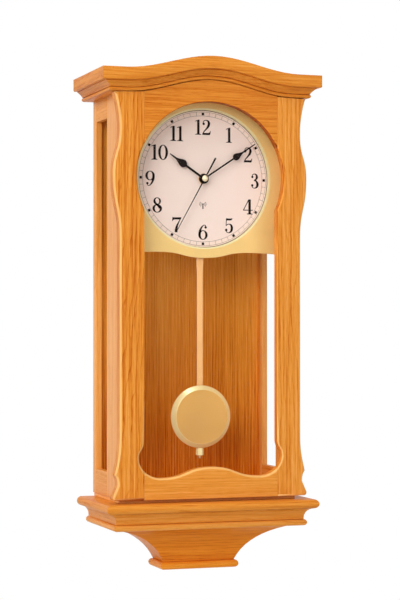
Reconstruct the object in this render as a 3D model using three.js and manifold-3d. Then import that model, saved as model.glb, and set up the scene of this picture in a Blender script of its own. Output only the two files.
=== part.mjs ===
// Pendulum wall clock in an oak case, with a hinged front door, brass-coloured dial plate and three hands.
// Millimetres. X runs to the right, Y into the wall, Z up. The wall is Y = 0.
// Heights below are measured from the hands' axis, depths from the wall towards the viewer.
import * as THREE from "three";
import { mergeVertices } from "three/addons/utils/BufferGeometryUtils.js";
import Module from "manifold-3d";

const wasm = await Module();
wasm.setup();

// Fits
const CLEARANCE = 0.3;
const DOOR_GAP = 1;
const ROUND_SEGMENTS = 24;
const BORE_SEGMENTS = 16;

// Hanger
const HANG_HEIGHT = 75;
const HANGER_WIDTH = 60;
const HANGER_MARGIN = 8;
const HANGER_THICK = 1.5;
const KEYHOLE_RADIUS = 5;
const KEYHOLE_SLOT = 5;
const KEYHOLE_LENGTH = 9;
const KEYHOLE_BELOW = 5;
const NAIL_POCKET_DEPTH = 4;

// Case
const CASE_WIDTH = 217;
const CASE_DEPTH = 106.5;
const CASE_BOTTOM = -370;
const SIDE_THICK = 7.3;
const REAR_STILE_DEPTH = 13.5;
const FRONT_STILE_DEPTH = 46.5;
const WINDOW_TOP = 70;
const WINDOW_BOTTOM = -341;
const BACK_THICK = 6;
const BOARD_THICK = 12;
const TOP_LIP_DEPTH = 8;
const TOP_LIP_LAP = 0.5;

// Crown
const CROWN_HEIGHT = 26;
const CROWN_OVERHANG = 24.5;
const CROWN_RISE = 17;
const CROWN_RISE_WIDTH = 200;
const CROWN_RISE_SPREAD = 11;
const CROWN_STATIONS = 28;
const FASCIA_HEIGHT = 14.3;
const FASCIA_ROUND = 1.2;
const FASCIA_LEDGE = 4.8;
const CROWN_COVE_WIDTH = 6;
const CROWN_FILLET = 0.8;
const CROWN_COVE_HOLLOW = 0.6;
const CROWN_BEAD = 4.5;

// Base
const SPACER_HEIGHT = 4;
const SPACER_INSET = 1.5;
const SPACER_FRONT = 2;
const SHELF_SIDE = 20;
const SHELF_FRONT = 26.9;
const SHELF_THICK = 10.5;
const BASE_COVE_HEIGHT = 11.5;
const BASE_COVE_WIDTH = 10;
const BASE_COVE_INSET = 4.5;
const BASE_FILLET = 1.5;
const BASE_BEAD_INSET = 11.3;
const BASE_BEAD = 7.5;
const PENDANT_HEIGHT = 42;
const PENDANT_SIDE = 1.5;
const PENDANT_FRONT = 2.5;
const PENDANT_FOOT_HALF = 43.5;
const PENDANT_FOOT_FRONT = 73.6;
const PENDANT_BACK = 31;
const PENDANT_HOLLOW = 0.77;
const FOOT_HEIGHT = 9;
const FOOT_OVERHANG = 4.5;

// Door
const DOOR_OVERHANG = 1.5;
const DOOR_THICK = 13;
const STILE_WIDTH = 29;
const ARCH_BITE = 8;
const ARCH_FLATTEN = 2.3;
const TOP_RAIL = 22.3;
const TOP_FLARE = 6.5;
const TOP_FLARE_HEIGHT = 42;
const BULGE = 8;
const BULGE_UP = 52;
const BULGE_DOWN = 70;
const LOW_FLARE = 5.6;
const LOW_FLARE_HEIGHT = 29;
const LOW_FLARE_RUN = 42;
const NOTCH = 2.3;
const NOTCH_HEIGHT = 17;
const FOOT_FLARE = 8;
const FOOT_ROUND = 4;
const LOBE_BITE = 5.8;
const LOBE_HALF_SPAN = 27;
const LOBE_DROP = 23;
const LOBE_LEAD = 18;
const LOBE_RAIL = 24.5;
const CREST_RAIL = 36;
const GLASS_THICK = 2;
const GLASS_LAP = 2.5;

// Hinges and catch
const HINGE_LENGTH = 30;
const HINGE_LEAF = 1.2;
const HINGE_LEAF_WIDTH = 13;
const KNUCKLE_RADIUS = 2.5;
const PIN_RADIUS = 1.2;
const HINGE_STANDOFF = 0.5;
const HINGE_HEIGHTS = { upper: 55, lower: -285 };
const CATCH_HEIGHT = -150;
const CATCH_LENGTH = 24;
const CATCH_WIDTH = 8;
const CATCH_DEPTH = 10;
const STRIKE_THICK = 0.8;

// Dial
const PLATE_SETBACK = 13.5;
const PLATE_THICK = 1.5;
const PLATE_ABOVE = 12.6;
const PLATE_BELOW = 8.6;
const PLATE_BELLY = 12.1;
const PLATE_RISE = 5.6;
const PLATE_RISE_IN = 26.4;
const DIAL_MARGIN = 8.6;
const DIAL_RIM = 1.5;
const DIAL_LAP = 4;
const DIAL_RECESS = 5;
const DIAL_THICK = 2;
const CLEAT_WIDTH = 9;
const CLEAT_DEPTH = 14;
const CLEAT_MARGIN = 10;

// Hands, at about nine minutes past ten; the long ones end a margin inside the dial's edge
const HOUR_HAND_DEGREES = 304;
const MINUTE_HAND_DEGREES = 56.3;
const SECOND_HAND_DEGREES = 209;
const HAND_THICK = 0.8;
const HAND_SPACING = 1.8;
const HAND_LIFT = 1.2;
const HOUR_MARGIN = 30.4;
const HOUR_SPADE_BACK = 19.6;
const HOUR_SPADE_WIDTH = 9;
const HOUR_STEM = 2.5;
const HOUR_HUB = 6;
const MINUTE_MARGIN = 4.9;
const MINUTE_SPADE_BACK = 28.2;
const MINUTE_SPADE_WIDTH = 8.1;
const MINUTE_STEM = 1.9;
const MINUTE_HUB = 5;
const SPADE_TAPER = 2.9;
const NEEDLE_WIDTH = 1.8;
const TIP_WIDTH = 1.1;
const SECOND_MARGIN = 8.4;
const SECOND_TAIL = 27.5;
const SECOND_TAIL_WIDTH = 2;
const SECOND_WIDTH = 1.3;
const SECOND_HUB = 3;
const CAP_RADIUS = 3.7;
const CAP_HEIGHT = 2.2;

// Movement
const HOUSING_WIDTH = 80;
const HOUSING_TOP = 46;
const HOUSING_BOTTOM = -40;
const HOUSING_DEPTH = 26;
const HOUSING_WALL = 2;
const SECOND_ARBOR_RADIUS = 0.65;
const TUBE_WALL = 0.5;
const BUSH_WALL = 1.35;
const NUT_RADIUS = 5.8;
const NUT_THICK = 2;
const WHEEL_THICK = 1.2;
const WHEEL_LAYER = 2.8;
const TOOTH_DEPTH = 0.7;
const HOUR_TEETH = 40;
const MOTION_PINION_TEETH = 10;
const CANNON_TEETH = 12;
const MOTION_TEETH = 36;
const MOTION_DISTANCE = 12;
const CENTRE_WHEEL_RADIUS = 11;
const CENTRE_TEETH = 44;
const SECOND_WHEEL_RADIUS = 9;
const SECOND_TEETH = 36;
const POST_RADIUS = 1.2;
const BOARD_MARGIN = 6;
const BOARD_SHEET = 1.6;
const BOARD_STANDOFF = 2.1;
const BATTERY_RADIUS = 7.25;
const BATTERY_LENGTH = 49;
const BATTERY_NUB = 1.5;
const ANTENNA_LENGTH = 60;
const ANTENNA_RADIUS = 4;
const ANTENNA_COIL_RADIUS = 5.5;
const ANTENNA_COIL_LENGTH = 34;
const MOTOR_WIDTH = 15;
const MOTOR_HEIGHT = 24;
const MOTOR_COIL_RADIUS = 4;
const MOTOR_PLATE = 1.5;
const MOTOR_FLANGE = 1;
const BUTTON_RADIUS = 2.5;
const BUTTON_PROUD = 1.5;
const BUTTON_FLANGE = 1;
const BUTTON_FLANGE_THICK = 0.8;
const BUTTON_PLACES = { set_button: [10, 22], receive_button: [24, 22] };

// Pendulum
const PIVOT_HEIGHT = -22;
const SWING_DEGREES = 6;
const HANGER_ARM_WIDTH = 6;
const HANGER_ARM_THICK = 2;
const HANGER_ARM_LENGTH = 28;
const MAGNET_RADIUS = 3.5;
const MAGNET_LENGTH = 3;
const MAGNET_DROP = 8;
const COIL_RADIUS = 6.5;
const COIL_BORE = 2;
const COIL_GAP = 0.6;
const HOOK_RADIUS = 1.2;
const ROD_SETBACK = 10.8;
const ROD_THICK = 1.5;
const ROD_WIDTH = 7.2;
const ROD_HEAD_WIDTH = 8.6;
const ROD_HEAD_END = -97;
const ROD_TAPER_END = -112;
const BOB_HEIGHT = -278;
const BOB_RADIUS = 36.6;
const BOB_FACE_RADIUS = 31.8;
const BOB_THICK = 10;
const BOB_BEVEL = 4.4;
const NUT_HEIGHT = 8.4;
const RATING_NUT_RADIUS = 4.7;
const THREAD_RADIUS = 1.7;
const THREAD_TIP = 3.5;

// Values that follow from the driving dimensions
const caseHalf = CASE_WIDTH / 2;
const innerHalf = caseHalf - SIDE_THICK;
const doorHalf = caseHalf + DOOR_OVERHANG;
const openingHalf = doorHalf - STILE_WIDTH;
const archRadius = openingHalf + ARCH_BITE;
const archHeight = archRadius - ARCH_FLATTEN;
const crownBottom = archRadius + TOP_RAIL + DOOR_GAP - CROWN_RISE;
const crownTop = crownBottom + CROWN_HEIGHT;
const sideTop = crownTop - BOARD_THICK;
const doorRear = CASE_DEPTH + CLEARANCE;
const doorFront = doorRear + DOOR_THICK;
const doorTop = crownBottom - DOOR_GAP;
const lobeRail = CASE_BOTTOM + LOBE_RAIL;
const lobeHeight = lobeRail + LOBE_DROP;
const lobeHalf = openingHalf + LOBE_BITE - LOBE_HALF_SPAN;
const lobeJoint = Math.acos((openingHalf - lobeHalf) / LOBE_HALF_SPAN);
const archJoint = Math.acos(openingHalf / archRadius);
const glassHalf = Math.max(archRadius, openingHalf + LOBE_BITE) + GLASS_LAP;
const glassTop = archRadius + GLASS_LAP - CLEARANCE;
const glassBottom = lobeRail - GLASS_LAP;
const rebateDepth = GLASS_THICK + 2 * CLEARANCE;
const hingeX = caseHalf + KNUCKLE_RADIUS + HINGE_STANDOFF;
const hingeY = -doorRear + KNUCKLE_RADIUS + HINGE_STANDOFF;
const plateFront = CASE_DEPTH - PLATE_SETBACK;
const dialFront = plateFront - DIAL_RECESS;
const dialRadius = archRadius - DIAL_MARGIN;
const dialBack = dialFront - DIAL_THICK;
const housingFront = dialBack - CLEARANCE;
const housingHalf = HOUSING_WIDTH / 2;
const housingInner = housingFront - HOUSING_WALL;
const coverFront = housingFront - HOUSING_DEPTH + HOUSING_WALL;
const coverBack = coverFront - HOUSING_WALL;
const boardBack = coverFront + BOARD_STANDOFF;
const boardFront = boardBack + BOARD_SHEET;
const minuteTubeBore = SECOND_ARBOR_RADIUS + CLEARANCE;
const minuteTube = minuteTubeBore + TUBE_WALL;
const hourTubeBore = minuteTube + CLEARANCE;
const hourTube = hourTubeBore + TUBE_WALL;
const bushBore = hourTube + CLEARANCE;
const bushRadius = bushBore + BUSH_WALL;
const nutFront = dialFront + NUT_THICK;
const hourHandBack = nutFront + HAND_LIFT;
const minuteHandBack = hourHandBack + HAND_SPACING;
const secondHandBack = minuteHandBack + HAND_SPACING;
const hourLayer = housingInner - CLEARANCE;
const motionLayer = hourLayer - WHEEL_LAYER;
const centreLayer = motionLayer - WHEEL_LAYER;
const secondLayer = centreLayer - WHEEL_LAYER;
const rodBack = dialBack - ROD_SETBACK;
const armFront = rodBack + ROD_THICK + CLEARANCE + HANGER_ARM_THICK;
const armBack = armFront - HANGER_ARM_THICK;
const rodFront = rodBack + ROD_THICK;
const hookHeight = PIVOT_HEIGHT - HANGER_ARM_LENGTH + HANGER_ARM_WIDTH / 2;
const bobBottom = BOB_HEIGHT - BOB_RADIUS;
const nutTop = bobBottom - CLEARANCE;
const rodMiddle = -(rodBack + rodFront) / 2;

// Materials
function finish(color, roughness, metalness) {
  return () => new THREE.MeshStandardMaterial({ color, roughness, metalness });
}
const oak = finish(0xd98d42, 0.5, 0);
const oakInside = finish(0xb56a28, 0.6, 0);
const brass = finish(0xd9b064, 0.35, 1);
const steel = finish(0xb8b8b8, 0.4, 1);
const glass = finish(0xe8f0f0, 0.05, 0);
const dialWhite = finish(0xf4e4da, 0.6, 0);
const handBlack = finish(0x1c140f, 0.5, 0);
const darkPlastic = finish(0x2a2a2c, 0.6, 0);
const palePlastic = finish(0xe6e2d6, 0.6, 0);
const boardGreen = finish(0x2f6b43, 0.6, 0);
const ferrite = finish(0x3a3836, 0.7, 0);
const copper = finish(0xb5703a, 0.4, 1);
const batterySleeve = finish(0x8c8f94, 0.4, 0);

// A closed, merged mesh whose faces point out
function closed(geometry) {
  const bare = geometry.clone();
  bare.deleteAttribute("normal");
  bare.deleteAttribute("uv");
  const merged = mergeVertices(bare, 1e-4);
  const source = merged.index.array;
  const index = [];
  for (let i = 0; i < source.length; i += 3) {
    const [a, b, c] = [source[i], source[i + 1], source[i + 2]];
    if (a !== b && b !== c && c !== a) index.push(a, b, c);
  }
  const corner = (k) => new THREE.Vector3().fromBufferAttribute(merged.attributes.position, index[k]);
  let volume = 0;
  for (let i = 0; i < index.length; i += 3) {
    volume += corner(i).dot(corner(i + 1).cross(corner(i + 2)));
  }
  if (volume < 0) index.reverse();
  merged.setIndex(new THREE.BufferAttribute(new Uint32Array(index), 1));
  return merged;
}

function solid(geometry) {
  const mesh = closed(geometry);
  const vertProperties = mesh.attributes.position.array;
  return new wasm.Manifold(new wasm.Mesh({ numProp: 3, vertProperties, triVerts: mesh.index.array }));
}

function geometryOf(manifold) {
  const mesh = manifold.getMesh();
  const geometry = new THREE.BufferGeometry();
  geometry.setAttribute("position", new THREE.BufferAttribute(mesh.vertProperties, 3));
  geometry.setIndex(new THREE.BufferAttribute(mesh.triVerts, 1));
  return geometry;
}

function join(first, ...others) {
  return geometryOf(others.reduce((whole, next) => whole.add(solid(next)), solid(first)));
}

function cut(first, ...tools) {
  return geometryOf(tools.reduce((whole, next) => whole.subtract(solid(next)), solid(first)));
}

// A box between two values on each axis
function block([x0, x1], [y0, y1], [z0, z1]) {
  const geometry = new THREE.BoxGeometry(Math.abs(x1 - x0), Math.abs(y1 - y0), Math.abs(z1 - z0));
  return geometry.translate((x0 + x1) / 2, (y0 + y1) / 2, (z0 + z1) / 2);
}

// A front-view outline (x to X, y to Z) between two depths from the wall
function panel(shape, backDepth, frontDepth, curveSegments = 12) {
  const depth = frontDepth - backDepth;
  const geometry = new THREE.ExtrudeGeometry(shape, { depth, bevelEnabled: false, curveSegments });
  return geometry.rotateX(Math.PI / 2).translate(0, -backDepth, 0);
}

// A turned piece: profile points are [radius, distance along the axis]
function turned(profile, segments = ROUND_SEGMENTS) {
  return new THREE.LatheGeometry(profile.map(([r, along]) => new THREE.Vector2(r, along)), segments);
}

// A turned piece along the depth, at a height, with distances given as depths from the wall
function turnedDepth(profile, x = 0, height = 0, segments = ROUND_SEGMENTS) {
  return turned(profile.map(([r, depth]) => [r, -depth]), segments).translate(x, 0, height);
}

// A plain cylinder along the depth
function rod(radius, backDepth, frontDepth, x = 0, height = 0, segments = BORE_SEGMENTS) {
  const profile = [[0, backDepth], [radius, backDepth], [radius, frontDepth], [0, frontDepth]];
  return turnedDepth(profile, x, height, segments);
}

// A solid through rings of equal point count, capped with the outline of its ends
function loft(rings, outline) {
  const count = rings[0].length;
  const index = [];
  for (let ring = 0; ring + 1 < rings.length; ring++) {
    for (let i = 0; i < count; i++) {
      const a = ring * count + i;
      const b = ring * count + ((i + 1) % count);
      index.push(a, b, b + count, a, b + count, a + count);
    }
  }
  const last = (rings.length - 1) * count;
  for (const [a, b, c] of THREE.ShapeUtils.triangulateShape(outline, [])) {
    index.push(c, b, a, last + a, last + b, last + c);
  }
  const geometry = new THREE.BufferGeometry().setFromPoints(rings.flat());
  geometry.setIndex(index);
  return geometry;
}

// A board built up from level rectangles, each with its height, half width, front depth and back depth
function layered(levels) {
  const rings = levels.map(({ z, half, front, back = 0 }) => [
    new THREE.Vector3(-half, -front, z),
    new THREE.Vector3(half, -front, z),
    new THREE.Vector3(half, -back, z),
    new THREE.Vector3(-half, -back, z),
  ]);
  return loft(rings, rings[0].map((p) => new THREE.Vector2(p.x, p.y)));
}

// Points of an arc as [across, along], swept in equal steps
function arc(centre, radii, fromDegrees, toDegrees, steps) {
  return Array.from({ length: steps + 1 }, (_, i) => {
    const angle = THREE.MathUtils.degToRad(THREE.MathUtils.lerp(fromDegrees, toDegrees, i / steps));
    return [centre[0] + radii[0] * Math.cos(angle), centre[1] + radii[1] * Math.sin(angle)];
  });
}

const clock = new THREE.Group();
clock.position.z = -HANG_HEIGHT;

function add(name, geometry, material, rotationY = 0) {
  const mesh = new THREE.Mesh(closed(geometry), material());
  mesh.name = name;
  mesh.rotation.y = rotationY;
  clock.add(mesh);
}

const SIDES = { left: -1, right: 1 };

// How far the crown's edge rises above its corners
function serpentine(x, width = CROWN_RISE_WIDTH) {
  const reach = Math.min(Math.abs(x) / (width / 2), 1);
  return (CROWN_RISE * (1 + Math.cos(Math.PI * reach))) / 2;
}

function buildCase() {
  const floor = CASE_BOTTOM + BOARD_THICK;
  for (const [side, sign] of Object.entries(SIDES)) {
    const thick = [sign * innerHalf, sign * caseHalf];
    const rear = [-REAR_STILE_DEPTH, 0];
    const front = [-CASE_DEPTH, -CASE_DEPTH + FRONT_STILE_DEPTH];
    const between = [front[1], rear[0]];
    add("side_rear_stile_" + side, block(thick, rear, [CASE_BOTTOM, sideTop]), oak);
    add("side_front_stile_" + side, block(thick, front, [CASE_BOTTOM, sideTop]), oak);
    add("side_top_rail_" + side, block(thick, between, [WINDOW_TOP, sideTop]), oak);
    add("side_bottom_rail_" + side, block(thick, between, [CASE_BOTTOM, WINDOW_BOTTOM]), oak);
  }
  const inside = [-innerHalf + CLEARANCE, innerHalf - CLEARANCE];
  const board = block([-caseHalf, caseHalf], [-CASE_DEPTH, 0], [sideTop, crownTop]);
  const lipDepth = [-CASE_DEPTH, -CASE_DEPTH + TOP_LIP_DEPTH];
  add("case_top_board", join(board, block(inside, lipDepth, [doorTop - TOP_LIP_LAP, sideTop + 1])), oak);
  add("case_bottom_board", block(inside, [-CASE_DEPTH, -BACK_THICK], [CASE_BOTTOM, floor]), oakInside);

  const slotTop = HANG_HEIGHT - KEYHOLE_BELOW;
  const keyholeBottom = slotTop - KEYHOLE_LENGTH - KEYHOLE_RADIUS;
  const plateZ = [keyholeBottom - HANGER_MARGIN, HANG_HEIGHT + HANGER_MARGIN];
  const plateHalf = HANGER_WIDTH / 2;
  const pocketHalf = plateHalf + CLEARANCE;
  const pocketZ = [plateZ[0] - CLEARANCE, plateZ[1] + CLEARANCE];
  const nailHalf = KEYHOLE_RADIUS + CLEARANCE;
  const nailBottom = keyholeBottom - CLEARANCE;
  const back = cut(
    block(inside, [-BACK_THICK, 0], [CASE_BOTTOM, sideTop]),
    block([-pocketHalf, pocketHalf], [-HANGER_THICK - CLEARANCE, CLEARANCE], pocketZ),
    block([-nailHalf, nailHalf], [-NAIL_POCKET_DEPTH, CLEARANCE], [nailBottom, slotTop + CLEARANCE]),
  );
  add("back_panel", back, oakInside);

  const plate = new THREE.Shape();
  plate.moveTo(-plateHalf, plateZ[0]).lineTo(plateHalf, plateZ[0]);
  plate.lineTo(plateHalf, plateZ[1]).lineTo(-plateHalf, plateZ[1]).closePath();
  const slotHalf = KEYHOLE_SLOT / 2;
  const slotAngle = Math.acos(slotHalf / KEYHOLE_RADIUS);
  const keyhole = new THREE.Path();
  keyhole.absarc(0, slotTop - slotHalf, slotHalf, 0, Math.PI, false);
  keyhole.absarc(0, slotTop - KEYHOLE_LENGTH, KEYHOLE_RADIUS, Math.PI - slotAngle, slotAngle, false);
  plate.holes.push(keyhole);
  add("hanger_plate", panel(plate, 0, HANGER_THICK, 8), steel);
}

// The crown's section as [distance in from the outer edge, height below the top]
function crownProfile() {
  const coveTop = -FASCIA_HEIGHT - CROWN_FILLET;
  const beadTop = -CROWN_HEIGHT + CROWN_BEAD;
  const coveBottom = beadTop + CROWN_FILLET;
  const coveEnd = FASCIA_LEDGE + CROWN_COVE_WIDTH;
  const radius = CROWN_BEAD / 2;
  const cove = new THREE.QuadraticBezierCurve(
    new THREE.Vector2(FASCIA_LEDGE, coveTop),
    new THREE.Vector2(
      FASCIA_LEDGE + CROWN_COVE_HOLLOW * CROWN_COVE_WIDTH,
      coveTop + (1 - CROWN_COVE_HOLLOW) * (coveBottom - coveTop),
    ),
    new THREE.Vector2(coveEnd, coveBottom),
  );
  return [
    [0, 0],
    ...arc([FASCIA_ROUND, -FASCIA_HEIGHT + FASCIA_ROUND], [FASCIA_ROUND, FASCIA_ROUND], 180, 270, 2),
    [FASCIA_LEDGE, -FASCIA_HEIGHT],
    ...cove.getPoints(4).map((point) => [point.x, point.y]),
    [coveEnd, beadTop],
    ...arc([coveEnd - CROWN_FILLET + radius, beadTop - radius], [radius, radius], 90, 270, 4),
    [CROWN_OVERHANG, -CROWN_HEIGHT],
    [CROWN_OVERHANG, 0],
  ];
}

// A point of the crown; its wave is broader towards the top
function crownPoint(x, y, drop) {
  const width = CROWN_RISE_WIDTH + CROWN_RISE_SPREAD * (1 + drop / CROWN_HEIGHT);
  return new THREE.Vector3(x, y, crownTop + drop + serpentine(x, width));
}

function buildCrown() {
  const profile = crownProfile();
  const outline = profile.map(([inset, drop]) => new THREE.Vector2(inset, drop));
  const half = caseHalf + CROWN_OVERHANG;
  const front = CASE_DEPTH + CROWN_OVERHANG;
  const stations = Array.from({ length: CROWN_STATIONS + 1 }, (_, i) => (2 * i) / CROWN_STATIONS - 1);
  const rings = stations.map((along) => profile.map(([inset, drop]) => {
    return crownPoint(along * (half - inset), inset - front, drop);
  }));
  add("crown_front", loft(rings, outline), oak);
  for (const [side, sign] of Object.entries(SIDES)) {
    const ends = [(inset) => inset - front, () => 0].map((end) => profile.map(([inset, drop]) => {
      return crownPoint(sign * (half - inset), end(inset), drop);
    }));
    add("crown_return_" + side, loft(ends, outline), oak);
  }
}

function buildBase() {
  const shelfTop = CASE_BOTTOM - SPACER_HEIGHT;
  const shelfBottom = shelfTop - SHELF_THICK;
  const half = caseHalf + SHELF_SIDE;
  const front = CASE_DEPTH + SHELF_FRONT;
  const level = ([inset, z]) => ({ z, half: half - inset, front: front - inset });
  const spacerHalf = caseHalf - SPACER_INSET;
  const spacerDepth = CASE_DEPTH + SPACER_FRONT;
  add("base_spacer", block([-spacerHalf, spacerHalf], [-spacerDepth, 0], [shelfTop, CASE_BOTTOM]), oak);

  const nose = SHELF_THICK / 2;
  add("base_shelf", layered(arc([nose, shelfTop - nose], [nose, nose], 90, 270, 8).map(level)), oak);

  const coveBottom = shelfBottom - BASE_COVE_HEIGHT;
  const beadTop = coveBottom - BASE_FILLET;
  const bead = BASE_BEAD / 2;
  const coveEnd = BASE_COVE_INSET + BASE_COVE_WIDTH;
  const moulding = [
    ...arc([BASE_COVE_INSET, coveBottom], [BASE_COVE_WIDTH, BASE_COVE_HEIGHT], 90, 0, 6),
    [coveEnd, beadTop],
    ...arc([BASE_BEAD_INSET + bead, beadTop - bead], [bead, bead], 90, 270, 6),
  ];
  add("base_moulding", layered(moulding.map(level)), oak);

  const pendantTop = beadTop - BASE_BEAD;
  const pendantBottom = pendantTop - PENDANT_HEIGHT;
  const { lerp } = THREE.MathUtils;
  const foot = new THREE.Vector3(PENDANT_FOOT_HALF, PENDANT_FOOT_FRONT, pendantBottom);
  const top = new THREE.Vector3(caseHalf + PENDANT_SIDE, CASE_DEPTH - PENDANT_FRONT, pendantTop);
  const hollow = new THREE.Vector3(
    lerp(top.x, foot.x, PENDANT_HOLLOW),
    lerp(top.y, foot.y, PENDANT_HOLLOW),
    lerp(foot.z, top.z, PENDANT_HOLLOW),
  );
  const sweep = new THREE.QuadraticBezierCurve3(foot, hollow, top).getPoints(10);
  const pendant = sweep.map((p) => ({ z: p.z, half: p.x, front: p.y, back: PENDANT_BACK }));
  add("pendant_block", layered(pendant), oak);

  const round = FOOT_HEIGHT / 2;
  const footHalf = PENDANT_FOOT_HALF + FOOT_OVERHANG;
  const footFront = PENDANT_FOOT_FRONT + FOOT_OVERHANG;
  const footBack = PENDANT_BACK - FOOT_OVERHANG;
  const footLevels = arc([round, pendantBottom - round], [round, round], 90, 270, 6).map(([inset, z]) => (
    { z, half: footHalf - inset, front: footFront - inset, back: footBack + inset }
  ));
  add("pendant_foot", layered(footLevels), oak);
}

// One stile of the door, right-hand side; its outer edge swells beside the dial and flares at both ends
function stileShape() {
  const notch = CASE_BOTTOM + NOTCH_HEIGHT;
  const flare = CASE_BOTTOM + LOW_FLARE_HEIGHT;
  const flareEnd = flare + LOW_FLARE_RUN;
  const foot = doorHalf + FOOT_FLARE;
  const topStart = doorTop - TOP_FLARE_HEIGHT;
  const shape = new THREE.Shape();
  shape.moveTo(openingHalf, CASE_BOTTOM).lineTo(foot - FOOT_ROUND, CASE_BOTTOM);
  shape.quadraticCurveTo(foot, CASE_BOTTOM, foot, CASE_BOTTOM + FOOT_ROUND);
  shape.lineTo(doorHalf + NOTCH, notch);
  shape.quadraticCurveTo(doorHalf + NOTCH, (notch + 2 * flare) / 3, doorHalf + LOW_FLARE, flare);
  shape.bezierCurveTo(
    doorHalf + LOW_FLARE / 2, flare + LOW_FLARE_RUN / 3,
    doorHalf, flare + LOW_FLARE_RUN / 2,
    doorHalf, flareEnd,
  );
  shape.lineTo(doorHalf, -BULGE_DOWN);
  shape.bezierCurveTo(doorHalf, -BULGE_DOWN / 2, doorHalf + BULGE, -BULGE_DOWN / 2, doorHalf + BULGE, 0);
  const bulgeTop = Math.min(BULGE_UP, topStart);
  shape.bezierCurveTo(doorHalf + BULGE, BULGE_UP / 2, doorHalf, BULGE_UP / 2, doorHalf, bulgeTop);
  shape.lineTo(doorHalf, topStart);
  shape.quadraticCurveTo(doorHalf, (topStart + doorTop) / 2, doorHalf + TOP_FLARE, doorTop);
  shape.lineTo(openingHalf, doorTop + serpentine(openingHalf));
  shape.absellipse(0, 0, archRadius, archHeight, archJoint, 0, true);
  shape.absarc(0, 0, archRadius, 0, -archJoint, true);
  shape.lineTo(openingHalf, lobeHeight + LOBE_LEAD);
  const bite = openingHalf + LOBE_BITE;
  const leadMiddle = lobeHeight + LOBE_LEAD / 2;
  shape.bezierCurveTo(openingHalf, leadMiddle, bite, leadMiddle, bite, lobeHeight);
  shape.absellipse(lobeHalf, lobeHeight, LOBE_HALF_SPAN, LOBE_DROP, 0, -lobeJoint, true);
  shape.closePath();
  return shape;
}

function topRailShape() {
  const shape = new THREE.Shape();
  shape.absellipse(0, 0, archRadius, archHeight, Math.PI - archJoint, archJoint, true);
  for (let i = 0; i <= CROWN_STATIONS; i++) {
    const x = openingHalf * (1 - (2 * i) / CROWN_STATIONS);
    shape.lineTo(x, doorTop + serpentine(x));
  }
  shape.closePath();
  return shape;
}

function bottomRailShape() {
  const crest = CASE_BOTTOM + CREST_RAIL;
  const quarter = Math.PI / 2;
  const shape = new THREE.Shape();
  shape.moveTo(-openingHalf, CASE_BOTTOM).lineTo(openingHalf, CASE_BOTTOM);
  shape.absellipse(lobeHalf, lobeHeight, LOBE_HALF_SPAN, LOBE_DROP, -lobeJoint, -quarter, true);
  shape.bezierCurveTo(lobeHalf / 2, lobeRail, lobeHalf / 2, crest, 0, crest);
  shape.bezierCurveTo(-lobeHalf / 2, crest, -lobeHalf / 2, lobeRail, -lobeHalf, lobeRail);
  shape.absellipse(-lobeHalf, lobeHeight, LOBE_HALF_SPAN, LOBE_DROP, -quarter, lobeJoint - Math.PI, true);
  shape.closePath();
  return shape;
}

function buildDoor() {
  const rebateHalf = glassHalf + CLEARANCE;
  const rebate = block(
    [-rebateHalf, rebateHalf],
    [-doorRear - rebateDepth, -doorRear + CLEARANCE],
    [glassBottom - CLEARANCE, glassTop + CLEARANCE],
  );
  const frame = (shape) => panel(shape, doorRear, doorFront);
  const right = cut(frame(stileShape()), rebate, ...Object.values(HINGE_HEIGHTS).map(hingeMortise));
  add("door_stile_right", right, oak);
  const left = cut(frame(stileShape()).scale(-1, 1, 1), rebate);
  add("door_stile_left", left, oak);
  add("door_top_rail", cut(frame(topRailShape()), rebate), oak);
  add("door_bottom_rail", cut(frame(bottomRailShape()), rebate), oak);
  const glassRear = -doorRear - CLEARANCE;
  const pane = block([-glassHalf, glassHalf], [glassRear - GLASS_THICK, glassRear], [glassBottom, glassTop]);
  add("door_glass", pane, glass);
}

// The door leaf lies in the door's rear face
function doorLeaf(height, grow) {
  const inner = hingeX - KNUCKLE_RADIUS - HINGE_LEAF_WIDTH;
  const half = HINGE_LENGTH / 2 + grow;
  return block(
    [inner - grow, hingeX],
    [-doorRear - HINGE_LEAF - grow, -doorRear + grow],
    [height - half, height + half],
  );
}

function hingeMortise(height) {
  return doorLeaf(height, CLEARANCE);
}

function upright(radius, from, to, segments) {
  const profile = [[0, from], [radius, from], [radius, to], [0, to]];
  return turned(profile, segments).rotateX(Math.PI / 2).translate(hingeX, hingeY, 0);
}

function buildHinges() {
  const bore = PIN_RADIUS + CLEARANCE;
  const half = HINGE_LENGTH / 2;
  for (const [place, height] of Object.entries(HINGE_HEIGHTS)) {
    const knuckle = (from, to) => upright(KNUCKLE_RADIUS, from, to, BORE_SEGMENTS);
    const hole = upright(bore, height - HINGE_LENGTH, height + HINGE_LENGTH, BORE_SEGMENTS);
    const lowerTop = height - CLEARANCE / 2;
    const upperBottom = height + CLEARANCE / 2;
    const caseLeaf = block(
      [caseHalf, caseHalf + HINGE_LEAF],
      [hingeY, hingeY + HINGE_LEAF_WIDTH],
      [height - half, lowerTop],
    );
    add("hinge_case_leaf_" + place, cut(join(caseLeaf, knuckle(height - half, lowerTop)), hole), brass);
    const link = block(
      [hingeX - PIN_RADIUS, hingeX],
      [-doorRear - HINGE_LEAF, hingeY],
      [upperBottom, height + half],
    );
    const leaf = join(doorLeaf(height, 0), link, knuckle(upperBottom, height + half));
    add("hinge_door_leaf_" + place, cut(leaf, hole), brass);
    add("hinge_pin_" + place, upright(PIN_RADIUS, height - half, height + half, BORE_SEGMENTS), steel);
  }
}

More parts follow.
